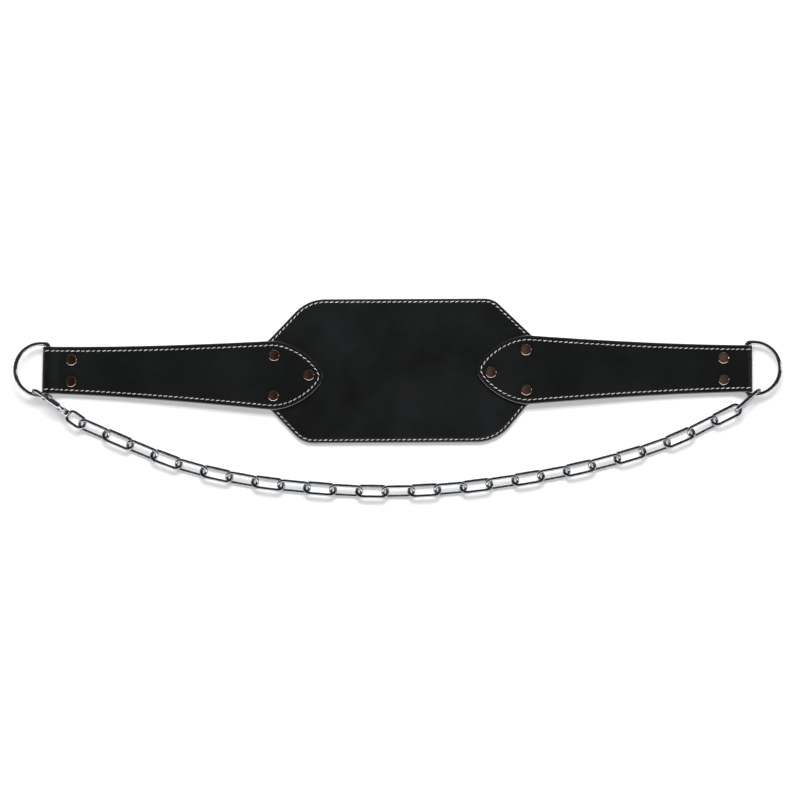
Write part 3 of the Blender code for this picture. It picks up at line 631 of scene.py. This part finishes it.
def centre_line(strap):
    """The middle of the strap's leather from tip to flap end, as (x, z), seen from the side."""
    descent_start = (PAD_LENGTH / 2) * (1 - abs(strap.apex_share)) - PAD_CROWN_WIDTH
    descent_end = strap.length - FLAP_LENGTH - STRAP_THICKNESS
    pinch_x = strap.length - LOOP_LENGTH

    def steps_over(length):
        return max(1, round(length / STRAIGHT_STEP))

    line = []
    count = steps_over(descent_start)
    line += [Vector((descent_start * k / count, PAD_STRAP_Z)) for k in range(count)]
    count = steps_over(descent_end - descent_start)
    for k in range(count):
        x = descent_start + (descent_end - descent_start) * k / count
        line.append(Vector((x, PAD_STRAP_Z + (UPPER_Z - PAD_STRAP_Z) * smoothstep(k / count))))
    count = steps_over(pinch_x - descent_end)
    line += [Vector((descent_end + (pinch_x - descent_end) * k / count, UPPER_Z)) for k in range(count)]
    line += loop_path(Vector((strap.length - BAR_FROM_FOLD, BAR_Z)), pinch_x)
    flap_end = strap.length - FLAP_LENGTH
    count = steps_over(pinch_x - flap_end)
    line += [Vector((pinch_x - (pinch_x - flap_end) * k / count, FLAP_Z)) for k in range(count + 1)]
    return line


class Ribbon:
    """A strap as a flat pattern that is laid along its bent centre line."""

    def __init__(self, strap):
        self.strap = strap
        self.frame = strap_frame(strap)
        self.line = np.array([tuple(point) for point in centre_line(strap)])
        steps = np.linalg.norm(np.diff(self.line, axis=0), axis=1)
        self.along = np.concatenate(([0.0], np.cumsum(steps)))
        runs = np.gradient(self.line, self.along, axis=0)
        runs /= np.linalg.norm(runs, axis=1)[:, None]
        self.normals = np.column_stack((-runs[:, 1], runs[:, 0]))
        self.length = self.along[-1]
        self.stations = self.flat_outline()

    def read(self, table, along):
        return np.interp(along, self.along, table)

    def place(self, along, across, height):
        """The point of the flat pattern at a height above the leather's middle, once laid."""
        x = self.read(self.line[:, 0], along) + self.read(self.normals[:, 0], along) * height
        z = self.read(self.line[:, 1], along) + self.read(self.normals[:, 1], along) * height
        return self.frame @ Vector((x, across, z))

    def flat_outline(self):
        """Stations (along, half_width, inward) of the flat pattern's upper edge."""
        half = STRAP_ROOT_WIDTH / 2
        pulls = (
            Vector((0, 0)),
            Vector((0, half * TIP_NOSE_PULL)),
            Vector((TIP_LENGTH * (1 - TIP_SHOULDER_PULL), half)),
            Vector((TIP_LENGTH, half)),
        )
        curve = [bezier(*pulls, k / TIP_STEPS) for k in range(TIP_STEPS + 1)]
        stations = [(0.0, 0.0, Vector((1, 0)))]
        for k in range(1, TIP_STEPS):
            run = curve[k + 1] - curve[k - 1]
            stations.append((curve[k].x, curve[k].y, Vector((run.y, -run.x)).normalized()))
        for along in self.along[self.along >= TIP_LENGTH]:
            width = strap_half_width(self.strap, self.read(self.line[:, 0], along))
            stations.append((along, width, Vector((0, -1))))
        stations[-1] = (*stations[-1][:2], Vector((-1, -1)))
        return stations


def rivet_dent(point, rivets):
    """How far the leather's top is pressed down near the rivets."""
    nearest = min((point.xy - centre.xy).length for centre in rivets)
    return RIVET_DENT * (1 - smoothstep((nearest - RIVET_FACE_RADIUS) / RIVET_HEAD_RADIUS))


def strap_mesh(ribbon, rivets):
    """Points, faces and edge shares of a strap with rounded edges and a stitched channel."""
    stations = ribbon.stations
    count = len(stations)
    rows = edge_profile(UNDERSIDE_LIFT - LAYER_MIDDLE, LAYER_MIDDLE, STRAP_EDGE_ROUNDING, STRAP_STITCH_INSET)
    points = []
    edges = []

    def add(along, across, height, is_edge, is_top):
        point = ribbon.place(along, across, height)
        if is_top:
            sunk = rivet_dent(point, rivets) if along < ribbon.strap.length else 0.0
            uneven = wave(point.x, point.y, STRAP_WAVE, 1.0)
            point = ribbon.place(along, across, height + uneven - sunk)
        points.append(point)
        edges.append(is_edge)

    for row, (inset, height, is_edge) in enumerate(rows):
        is_top = row > len(rows) - 5
        for side in (1, -1):
            for i in range(count) if side == 1 else range(count - 1, 0, -1):
                along, half, inward = stations[i]
                across = side * (half + inward.y * inset)
                add(along + inward.x * inset, across, height, is_edge, is_top)
    outline = 2 * count - 1
    faces = []
    for row in range(len(rows) - 1):
        faces += bridge(row * outline, (row + 1) * outline, outline)
    faces.append((0, 1, outline - 1))
    for i in range(1, count - 1):
        faces.append((i, i + 1, outline - i - 1, outline - i))
    top = (len(rows) - 1) * outline
    inset, height, _ = rows[-1]
    previous = [top]
    for i in range(1, count):
        along, half, inward = stations[i]
        edge_half = half + inward.y * inset
        current = [top + i]
        for k in range(1, ACROSS_STEPS):
            across = edge_half * (1 - 2 * k / ACROSS_STEPS)
            add(along + inward.x * inset, across, height, 0.0, True)
            current.append(len(points) - 1)
        current.append(top + outline - i)
        if i == 1:
            faces += [(previous[0], current[k], current[k + 1]) for k in range(ACROSS_STEPS)]
        else:
            for k in range(ACROSS_STEPS):
                faces.append((previous[k], current[k], current[k + 1], previous[k + 1]))
        previous = current
    return points, faces, edges


def mark_edges(obj, edges):
    """Keeps how much of each point is cut edge, for the material."""
    layer = obj.data.attributes.new("edge", "FLOAT", "POINT")
    layer.data.foreach_set("value", edges)


# Stitches


def stitch_shape():
    """One stitch along X: rounded, thickest in the middle, with its ends in the leather."""
    sides = STITCH_SIDES
    points = []
    coordinates = []
    for i in range(STITCH_RINGS + 1):
        share = i / STITCH_RINGS
        swell = sin(pi * (STITCH_END + (1 - 2 * STITCH_END) * share)) ** 0.5
        rise = STITCH_RADIUS * (STITCH_ARCH * sin(pi * share) ** 0.6 - STITCH_SUNK)
        for k in range(sides):
            turn = 2 * pi * k / sides
            y = STITCH_RADIUS * swell * cos(turn)
            z = rise + STITCH_FLATNESS * STITCH_RADIUS * swell * sin(turn)
            points.append(((share - 0.5) * STITCH_LENGTH, y, z))
            coordinates.append((share * 2, k / sides))
    faces = []
    for i in range(STITCH_RINGS):
        faces += bridge(i * sides, (i + 1) * sides, sides)
    faces.append(tuple(range(sides)))
    faces.append(tuple(range(STITCH_RINGS * sides, (STITCH_RINGS + 1) * sides)))
    return np.array(points), faces, np.array(coordinates)


def make_stitches(name, places, finish):
    """One mesh with a stitch at each place (middle, direction, upwards)."""
    shape, shape_faces, shape_uv = stitch_shape()
    points = []
    faces = []
    slant = Matrix.Rotation(radians(STITCH_SLANT), 3, "Z")
    for middle, direction, upwards in places:
        side = upwards.cross(direction).normalized()
        ahead = side.cross(upwards).normalized()
        turn = Matrix((ahead, side, upwards.normalized())).transposed() @ slant
        start = len(points)
        points += [middle + turn @ Vector(point) for point in shape]
        faces += [tuple(start + i for i in face) for face in shape_faces]
    obj = make_object(name, points, faces, finish)
    layer = obj.data.uv_layers.new(name="UVMap")
    corners = np.empty(len(obj.data.loops), dtype=np.int64)
    obj.data.loops.foreach_get("vertex_index", corners)
    layer.data.foreach_set("uv", shape_uv[corners % len(shape)].ravel())
    return obj


def evenly(path, pitch, closed):
    """Places and directions about a pitch apart along a flat path."""
    line = list(path) + ([path[0]] if closed else [])
    steps = [(end - start).length for start, end in zip(line, line[1:])]
    along = np.concatenate(([0.0], np.cumsum(steps)))
    count = round(along[-1] / pitch)
    xs = [point.x for point in line]
    ys = [point.y for point in line]
    found = []
    for k in range(count):
        middle = (k + 0.5) * along[-1] / count
        before, after = middle - pitch / 4, middle + pitch / 4
        start, here, end = (
            Vector((np.interp(s, along, xs), np.interp(s, along, ys))) for s in (before, middle, after)
        )
        found.append((here, (end - start).normalized()))
    return found


def strap_stitches(ribbon, finish):
    """The row of stitches along the strap's edges and round its tip, on both faces."""
    inset = STRAP_STITCH_INSET
    half_path = [
        Vector((along + inward.x * inset, half + inward.y * inset))
        for along, half, inward in ribbon.stations[:-1]
        if along < ribbon.length - 2 * STITCH_LENGTH
    ]
    path = list(reversed(half_path)) + [Vector((point.x, -point.y)) for point in half_path[1:]]
    pad_end = (PAD_LENGTH / 2) * (1 - abs(ribbon.strap.apex_share))
    places = []
    for here, run in evenly(path, STITCH_PITCH, False):
        for face in (1, -1):
            if face == -1 and here.x < pad_end:
                continue
            height = LAYER_MIDDLE - GROOVE_DEPTH if face == 1 else UNDERSIDE_LIFT - LAYER_MIDDLE
            step = run * (STITCH_PITCH / 4)
            middle = ribbon.place(here.x, here.y, height)
            ahead = ribbon.place(here.x + step.x, here.y + step.y, height)
            above = ribbon.place(here.x, here.y, height + face * STITCH_LENGTH)
            places.append((middle, ahead - middle, above - middle))
    return make_stitches("stitches_" + ribbon.strap.side, places, finish)


# Pad


def pad_outline():
    """The pad's outline, counter-clockwise, with tabs that end under the straps."""
    half_length = PAD_LENGTH / 2
    half_height = PAD_HEIGHT / 2

    def tab(strap, x, upper, rounding):
        tuck = -PAD_TAB_TUCK if upper else PAD_TAB_TUCK
        return (x, strap_edge(strap, x, upper) + tuck, rounding)

    def corner(name):
        row = PAD_CORNERS[name]
        return (row.along_share * half_length, row.up_share * half_height, row.rounding_share * PAD_HEIGHT)

    def neck(strap, name, upper):
        return tab(strap, PAD_NECKS[name] * half_length, upper, PAD_NECK_ROUNDING)

    corners = (
        tab(LEFT, -half_length, False, PAD_TAB_ROUNDING),
        neck(LEFT, "lower left", False),
        corner("lower left"),
        corner("lower right"),
        neck(RIGHT, "lower right", False),
        tab(RIGHT, half_length, False, PAD_TAB_ROUNDING),
        tab(RIGHT, half_length, True, PAD_TAB_ROUNDING),
        neck(RIGHT, "upper right", True),
        corner("upper right"),
        corner("upper left"),
        neck(LEFT, "upper left", True),
        tab(LEFT, -half_length, True, PAD_TAB_ROUNDING),
    )
    return filled_in(fillet_path(corners, BEND_STEP), PAD_OUTLINE_STEP, True)


def crown_height(inset):
    """The height of the pad's top at a distance in from its edge."""
    rise = smoothstep(inset / PAD_CROWN_WIDTH)
    return PAD_EDGE_THICKNESS + (PAD_THICKNESS - PAD_EDGE_THICKNESS) * rise


def inner_points(ring, spacing):
    """A staggered grid of points inside a closed path, clear of it."""
    xs = [point.x for point in ring]
    ys = [point.y for point in ring]
    outline = np.array([tuple(point) for point in ring])
    found = []
    rows = ceil((max(ys) - min(ys)) / spacing)
    columns = ceil((max(xs) - min(xs)) / spacing)
    for row in range(rows + 1):
        y = min(ys) + row * spacing
        for column in range(columns + 1):
            x = min(xs) + (column + 0.5 * (row % 2)) * spacing
            inside = False
            for (x1, y1), (x2, y2) in zip(outline, np.roll(outline, -1, axis=0)):
                if (y1 > y) != (y2 > y) and x < (x2 - x1) * (y - y1) / (y2 - y1) + x1:
                    inside = not inside
            nearest = np.min(np.hypot(outline[:, 0] - x, outline[:, 1] - y))
            if inside and nearest > spacing * PAD_GRID_CLEARANCE:
                found.append(Vector((x, y)))
    return found


def pad_mesh(outline):
    """Points, faces and edge shares of the pad with its channel and its gentle crown."""
    normals = path_normals(outline, True)
    rows = edge_profile(UNDERSIDE_LIFT, PAD_EDGE_THICKNESS, PAD_EDGE_ROUNDING, PAD_STITCH_INSET)
    last_inset = rows[-1][0]
    for share in (0.5, 1.0):
        rows.append((last_inset + (PAD_CROWN_WIDTH - last_inset) * share, PAD_EDGE_THICKNESS, 0.0))
    points = []
    edges = []
    for inset, height, is_edge in rows:
        for place, normal in zip(outline, normals):
            here = place + normal * inset
            lift = crown_height(inset) - PAD_EDGE_THICKNESS if height > PAD_EDGE_THICKNESS / 2 else 0.0
            points.append(Vector((here.x, here.y, height + lift)))
            edges.append(is_edge)
    count = len(outline)
    faces = [tuple(range(count))]
    for row in range(len(rows) - 1):
        faces += bridge(row * count, (row + 1) * count, count)
    start = len(points) - count
    ring = [point.xy for point in points[start:]]
    inside = inner_points(ring, PAD_GRID)
    loop = [list(range(count))]
    flat, _, triangles, _, _, _ = delaunay_2d_cdt(ring + inside, [], loop, 1, 1e-7)
    for place in flat[count:]:
        nearest = min((place - point).length for point in ring)
        uneven = wave(place.x, place.y, PAD_WAVE, 2.0) * smoothstep(nearest / PAD_CROWN_WIDTH)
        points.append(Vector((place.x, place.y, PAD_THICKNESS + uneven)))
        edges.append(0.0)
    faces += [tuple(start + i for i in triangle) for triangle in triangles]
    return points, faces, edges


def pad_stitches(outline, finish):
    """The row of stitches round the pad, on its top and on its underside."""
    inset = PAD_STITCH_INSET
    path = [place + normal * inset for place, normal in zip(outline, path_normals(outline, True))]
    top = crown_height(inset) - GROOVE_DEPTH
    places = []
    for here, run in evenly(path, STITCH_PITCH, True):
        ahead = Vector((run.x, run.y, 0))
        places.append((Vector((here.x, here.y, top)), ahead, Vector((0, 0, 1))))
        places.append((Vector((here.x, here.y, UNDERSIDE_LIFT)), ahead, Vector((0, 0, -1))))
    return make_stitches("stitches_pad", places, finish)


# Metal pieces


def node_points(node):
    return np.array([tuple(vertex.co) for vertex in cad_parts[node].data.vertices])


def fitted_frame(node, outwards=1.0, wider_than_long=False):
    """A flat wire piece's own frame from its solid: X along it, Y across, Z off its plane."""
    points = node_points(node)
    centred = points - points.mean(axis=0)
    _, _, axes = np.linalg.svd(centred, full_matrices=False)
    along, across = (axes[1], axes[0]) if wider_than_long else (axes[0], axes[1])
    if along[0] * outwards < 0:
        along = -along
    normal = np.cross(along, across)
    if normal[2] < 0:
        across, normal = -across, -normal
    turn = np.column_stack((along, across, normal))
    local = centred @ turn
    middle = points.mean(axis=0) + turn @ ((local.min(axis=0) + local.max(axis=0)) / 2)
    return Matrix.Translation(Vector(middle)) @ Matrix(turn.tolist()).to_4x4()


def oval_path(half_length, half_width):
    """A closed round-ended path about the origin, along X."""
    path = []
    steps = round(180 / BEND_STEP)
    for middle, bearing in ((half_length - half_width, -pi / 2), (half_width - half_length, pi / 2)):
        for k in range(steps + 1):
            turn = bearing + pi * k / steps
            path.append(Vector((middle + half_width * cos(turn), half_width * sin(turn))))
    return filled_in(path, STRAIGHT_WIRE_STEP, True)


def link_mesh(name, wire, width, length, finish):
    """A link about the origin, slightly swollen at the weld in one long side."""

    def swell(here):
        reach = abs(here.x) / WELD_LENGTH
        return WELD_SWELL * (1 - smoothstep(reach)) if here.y > 0 else 0.0

    path = oval_path((length - wire) / 2, (width - wire) / 2)
    return make_object(name, *tube(path, wire / 2, True, swell), finish)


def ring_mesh(name, finish):
    """A D-ring, its bar at X = 0 and its round bow towards +X."""
    bar = (
        (RING_LEG, RING_HALF, 0),
        (0, RING_HALF, RING_CORNER),
        (0, -RING_HALF, RING_CORNER),
        (RING_LEG, -RING_HALF, 0),
    )
    path = fillet_path(bar, BEND_STEP)
    steps = round(180 / BEND_STEP)
    for k in range(1, steps):
        turn = pi * k / steps - pi / 2
        path.append(Vector((RING_LEG + RING_HALF * cos(turn), RING_HALF * sin(turn))))
    path = filled_in(path, STRAIGHT_WIRE_STEP, True)
    return make_object(name, *tube(path, RING_WIRE / 2, True), finish)


def place_ring(side, outwards, finish):
    ring = ring_mesh("ring_" + side, finish)
    shift = Matrix.Translation((-(RING_LEG + RING_HALF) / 2, 0, 0))
    ring.matrix_world = fitted_frame("d_ring_" + side, outwards, True) @ shift
    return add_piece(ring, ("d_ring_" + side,))


def rivet_profile(face_height):
    """A rivet's head from its skirt in the leather to its slightly dished face."""
    skirt = -RIVET_DENT - GAP
    bevel = RIVET_HEAD_RADIUS - RIVET_FACE_RADIUS
    rim = RIVET_RIM_SHARE * face_height
    profile = [(0, skirt), (RIVET_HEAD_RADIUS * RIVET_SKIRT_SHARE, skirt), (RIVET_HEAD_RADIUS, rim)]
    steps = 8
    for k in range(1, steps + 1):
        turn = radians(90) * k / steps
        radius = RIVET_FACE_RADIUS + bevel * cos(turn)
        profile.append((radius, rim + (face_height - rim) * sin(turn)))
    for radius_share, height_share in RIVET_DISH:
        profile.append((RIVET_FACE_RADIUS * radius_share, face_height * height_share))
    return profile


def make_rivet(node, finish):
    """A rivet's bright head, with the cap that closes it on the underside."""
    low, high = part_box(node)
    x, y = (low + high).xy / 2
    cap_top = 2 * UNDERSIDE_LIFT
    cap = ((0, 0), (RIVET_CAP_RADIUS, 0), (RIVET_CAP_RADIUS, cap_top), (0, cap_top))
    head_at = Matrix.Translation((x, y, high.z - RIVET_HEAD_HEIGHT))
    shapes = (
        moved(turned(rivet_profile(RIVET_HEAD_HEIGHT), RIVET_SIDES), head_at),
        moved(turned(softened(cap, GAP), RIVET_SIDES), Matrix.Translation((x, y, low.z))),
    )
    rivet = make_object("head_" + node, *joined(shapes), finish)
    return add_piece(rivet, (node,))


def posed(heading, pitch, roll):
    """A turn that heads along the floor, dips by the pitch and rolls about its own X."""
    turn = Matrix.Rotation(radians(heading), 4, "Z") @ Matrix.Rotation(radians(pitch), 4, "Y")
    return turn @ Matrix.Rotation(radians(roll), 4, "X")


def seat_on_node(obj, node):
    """Moves a piece that is already turned so that its box's middle is its node's."""
    low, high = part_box(node)
    points = np.array([tuple(obj.matrix_world @ vertex.co) for vertex in obj.data.vertices])
    middle = (points.min(axis=0) + points.max(axis=0)) / 2
    shift = (low + high) / 2 - Vector(middle)
    obj.matrix_world = Matrix.Translation(shift) @ obj.matrix_world


def turned_along_x(profile, across=0.0, sides=32):
    points, faces = turned(profile, sides)
    return [(z, x + across, y) for x, y, z in points], faces


def cast(name, shapes, finish):
    """Several overlapping shapes made into one smooth cast piece."""
    obj = make_object(name, *joined(shapes), finish)
    remesh = obj.modifiers.new("cast", "REMESH")
    remesh.mode = "VOXEL"
    remesh.voxel_size = CAST_VOXEL
    remesh.use_smooth_shade = True
    smooth = obj.modifiers.new("smooth", "SMOOTH")
    smooth.iterations = CAST_SMOOTHING
    smooth.factor = 0.5
    settle(obj)
    return obj


def settle(obj):
    """Makes an object's modifiers part of its mesh."""
    evaluated = obj.evaluated_get(bpy.context.evaluated_depsgraph_get())
    mesh = bpy.data.meshes.new_from_object(evaluated)
    mesh.name = obj.name
    obj.modifiers.clear()
    obj.data = mesh
    mesh.shade_smooth()


def hook_path():
    """The hook's wire in its own plane: tongue, nose, spine and the arms at the boss."""
    arm_start = HOOK_MOUTH + BARREL_LENGTH
    bridge_x = HOOK_LENGTH - BOSS_LENGTH / 2
    bridge_half = HOOK_BRIDGE_WIDTH / 2
    corners = (
        (HOOK_TONGUE, HOOK_HALF, 0),
        (HOOK_WIRE / 2, HOOK_HALF, HOOK_HALF),
        (HOOK_WIRE / 2, -HOOK_HALF, HOOK_HALF),
        (arm_start, -HOOK_HALF, HOOK_HALF),
        (bridge_x, -bridge_half, HOOK_BRIDGE_ROUNDING),
        (bridge_x, bridge_half, HOOK_BRIDGE_ROUNDING),
        (arm_start, HOOK_HALF, 0),
    )
    return filled_in(fillet_path(corners, BEND_STEP), STRAIGHT_WIRE_STEP, False)


def make_hook(finish):
    barrel_end = HOOK_MOUTH + BARREL_LENGTH + HOOK_WIRE / 2
    barrel = (
        (0, HOOK_MOUTH),
        (BARREL_RADIUS, HOOK_MOUTH),
        (BARREL_RADIUS, barrel_end - HOOK_WIRE / 2),
        (BARREL_END_RADIUS, barrel_end),
        (0, barrel_end),
    )
    boss = (
        (0, HOOK_LENGTH - BOSS_LENGTH),
        (BOSS_RADIUS, HOOK_LENGTH - BOSS_LENGTH),
        (BOSS_RADIUS, HOOK_LENGTH),
        (0, HOOK_LENGTH),
    )
    shapes = (
        tube(hook_path(), HOOK_WIRE / 2, False),
        turned_along_x(softened(barrel, GAP), HOOK_HALF),
        turned_along_x(softened(boss, GAP)),
    )
    hook = cast("snap_hook", shapes, finish)
    hook.matrix_world = posed(HOOK_HEADING, HOOK_PITCH, HOOK_ROLL)
    seat_on_node(hook, "hook_body")
    return add_piece(hook, ("hook_body",))


def make_bolt(finish):
    tip = HOOK_TONGUE + GAP
    end = HOOK_MOUTH + BOLT_GRIP - 2 * GAP
    rod = softened(((0, tip), (BOLT_RADIUS, tip), (BOLT_RADIUS, end), (0, end)), GAP)
    knob_base = BARREL_RADIUS + GAP
    knob_top = knob_base + KNOB_THICKNESS
    knob = softened(
        (
            (0, 0),
            (KNOB_STEM_RADIUS, 0),
            (KNOB_STEM_RADIUS, knob_base),
            (KNOB_RADIUS, knob_base),
            (KNOB_RADIUS, knob_top),
            (0, knob_top),
        ),
        2 * GAP,
    )
    centre = Matrix.Translation((HOOK_MOUTH + KNOB_STEM_FROM_MOUTH, HOOK_HALF, 0))
    out = centre @ Matrix.Rotation(radians(90), 4, "Z") @ Matrix.Rotation(radians(KNOB_TURN), 4, "Y")
    shapes = (turned_along_x(rod, HOOK_HALF), moved(turned_along_x(knob), out))
    bolt = make_object("spring_bolt", *joined(shapes), finish)
    bolt.matrix_world = posed(HOOK_HEADING, HOOK_PITCH, HOOK_ROLL)
    seat_on_node(bolt, "hook_bolt")
    return add_piece(bolt, ("hook_bolt",), "bolt")


def make_eye(finish):
    near = HOOK_LENGTH + EYE_COLLAR_LENGTH + EYE_WIRE / 2 - GAP
    far = HOOK_LENGTH + EYE_LENGTH - EYE_WIRE / 2
    corners = (
        (near, -EYE_HALF, EYE_SHOULDER_ROUNDING),
        (far, -EYE_HALF, EYE_HALF),
        (far, EYE_HALF, EYE_HALF),
        (near, EYE_HALF, EYE_SHOULDER_ROUNDING),
    )
    loop = filled_in(fillet_path(corners, BEND_STEP), STRAIGHT_WIRE_STEP, True)
    head_end = HOOK_LENGTH - BOSS_LENGTH - GAP
    collar = HOOK_LENGTH + GAP
    stem = (
        (0, head_end - EYE_HEAD_THICKNESS),
        (EYE_HEAD_RADIUS, head_end - EYE_HEAD_THICKNESS),
        (EYE_HEAD_RADIUS, head_end),
        (EYE_STEM_RADIUS, head_end),
        (EYE_STEM_RADIUS, collar),
        (EYE_COLLAR_RADIUS, collar),
        (EYE_COLLAR_RADIUS, collar + EYE_COLLAR_LENGTH),
        (EYE_WIRE / 2, near + EYE_WIRE / 2 - GAP),
        (0, near + EYE_WIRE / 2 - GAP),
    )
    shapes = (tube(loop, EYE_WIRE / 2, True), turned_along_x(softened(stem, GAP)))
    eye = cast("chain_swivel_eye", shapes, finish)
    eye.matrix_world = posed(HOOK_HEADING, HOOK_PITCH, EYE_ROLL)
    seat_on_node(eye, "swivel_eye")
    return add_piece(eye, ("swivel_eye",))


def make_links(finish):
    first = None
    for node in sorted(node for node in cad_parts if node.startswith("link_")):
        name = "chain_" + node
        if first is None:
            first = link_mesh(name, LINK_WIRE, LINK_WIDTH, LINK_LENGTH, finish)
            link = first
        else:
            link = bpy.data.objects.new(name, first.data)
            bpy.context.scene.collection.objects.link(link)
        link.matrix_world = fitted_frame(node)
        add_piece(link, (node,))
    end = link_mesh("connecting_link", END_LINK_WIRE, END_LINK_WIDTH, END_LINK_LENGTH, finish)
    end.matrix_world = fitted_frame("end_link")
    add_piece(end, ("end_link",))


# The whole belt


def make_straps(strap_leather, thread):
    for strap in (LEFT, RIGHT):
        ribbon = Ribbon(strap)
        rivets = []
        for number in range(1, RIVETS_A_SIDE + 1):
            low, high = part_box(f"rivet_{strap.side}_{number}")
            rivets.append((low + high) / 2)
        points, faces, edges = strap_mesh(ribbon, rivets)
        leather_strap = make_object("leather_strap_" + strap.side, points, faces, strap_leather)
        mark_edges(leather_strap, edges)
        add_piece(leather_strap, ("strap_" + strap.side,))
        add_piece(strap_stitches(ribbon, thread), ())


def make_pad(pad_leather, thread):
    outline = pad_outline()
    points, faces, edges = pad_mesh(outline)
    pad = make_object("leather_pad", points, faces, pad_leather)
    mark_edges(pad, edges)
    add_piece(pad, ("back_pad",))
    add_piece(pad_stitches(outline, thread), ())


def make_floor():
    corners = [(x * FLOOR_HALF, y * FLOOR_HALF, 0) for x, y in ((-1, -1), (1, -1), (1, 1), (-1, 1))]
    floor = make_object("floor", corners, [(0, 1, 2, 3)], floor_material())


def area_light(panel):
    """A panel aimed at the origin that lights what is dull, or shows only in what shines."""
    light = bpy.data.lights.new(panel.name, "AREA")
    light.shape = "RECTANGLE"
    light.size = panel.width
    light.size_y = panel.height
    light.energy = panel.power
    lamp = bpy.data.objects.new(panel.name, light)
    lamp.location = panel.place
    lamp.rotation_euler = (-Vector(panel.place)).to_track_quat("-Z", "Y").to_euler()
    lamp.visible_diffuse = panel.seen_in == "diffuse"
    lamp.visible_glossy = panel.seen_in == "glossy"
    bpy.context.scene.collection.objects.link(lamp)


def make_world():
    """A dim room whose ceiling is brown, darker over the hook's end of the belt."""
    world = bpy.data.worlds.new("studio")
    world.use_nodes = True
    tree = world.node_tree
    coordinates = tree.nodes.new("ShaderNodeTexCoord")
    parts = tree.nodes.new("ShaderNodeSeparateXYZ")
    tree.links.new(coordinates.outputs["Generated"], parts.inputs["Vector"])
    shifted = tree.nodes.new("ShaderNodeMath")
    shifted.operation = "MULTIPLY_ADD"
    shifted.inputs[1].default_value = CEILING_SPREAD
    shifted.inputs[2].default_value = 0.5
    tree.links.new(parts.outputs["X"], shifted.inputs[0])
    ceiling = ramp(tree, shifted.outputs["Value"], CEILING)
    overhead = ramp(tree, parts.outputs["Z"], CEILING_EDGE)
    room = mixed(tree, overhead, ROOM, ceiling)
    tree.links.new(room, tree.nodes["Background"].inputs["Color"])
    bpy.context.scene.world = world


def make_camera():
    camera = bpy.data.cameras.new("camera")
    camera.sensor_width = SENSOR_WIDTH
    camera.lens = SENSOR_WIDTH * CAMERA_HEIGHT / VIEW_WIDTH
    camera.clip_end = 5 * CAMERA_HEIGHT
    holder = bpy.data.objects.new("camera", camera)
    holder.location = (*VIEW_CENTRE, CAMERA_HEIGHT)
    bpy.context.scene.collection.objects.link(holder)
    bpy.context.scene.camera = holder


def main():
    bpy.context.scene.view_settings.view_transform = "Standard"
    pad_leather = leather("pad_leather", *PAD_BLACK, 0.52)
    strap_leather = leather("strap_leather", *STRAP_BLACK, 0.46)
    thread = thread_material()
    chrome = metal("chrome_steel", *CHROME_TONES, 0.10, 0.10)
    chain_steel = metal("chain_steel", *CHAIN_TONES, 0.16, 0.14)
    nickel = metal("rivet_nickel", *RIVET_TONES, 0.12, 0.10)
    make_pad(pad_leather, thread)
    make_straps(strap_leather, thread)
    for side, outwards in (("left", -1.0), ("right", 1.0)):
        place_ring(side, outwards, chrome)
        for number in range(1, RIVETS_A_SIDE + 1):
            make_rivet(f"rivet_{side}_{number}", nickel)
    make_hook(chrome)
    make_bolt(chrome)
    make_eye(chrome)
    make_links(chain_steel)
    make_floor()
    make_world()
    for panel in PANELS:
        area_light(panel)
    make_camera()


main()
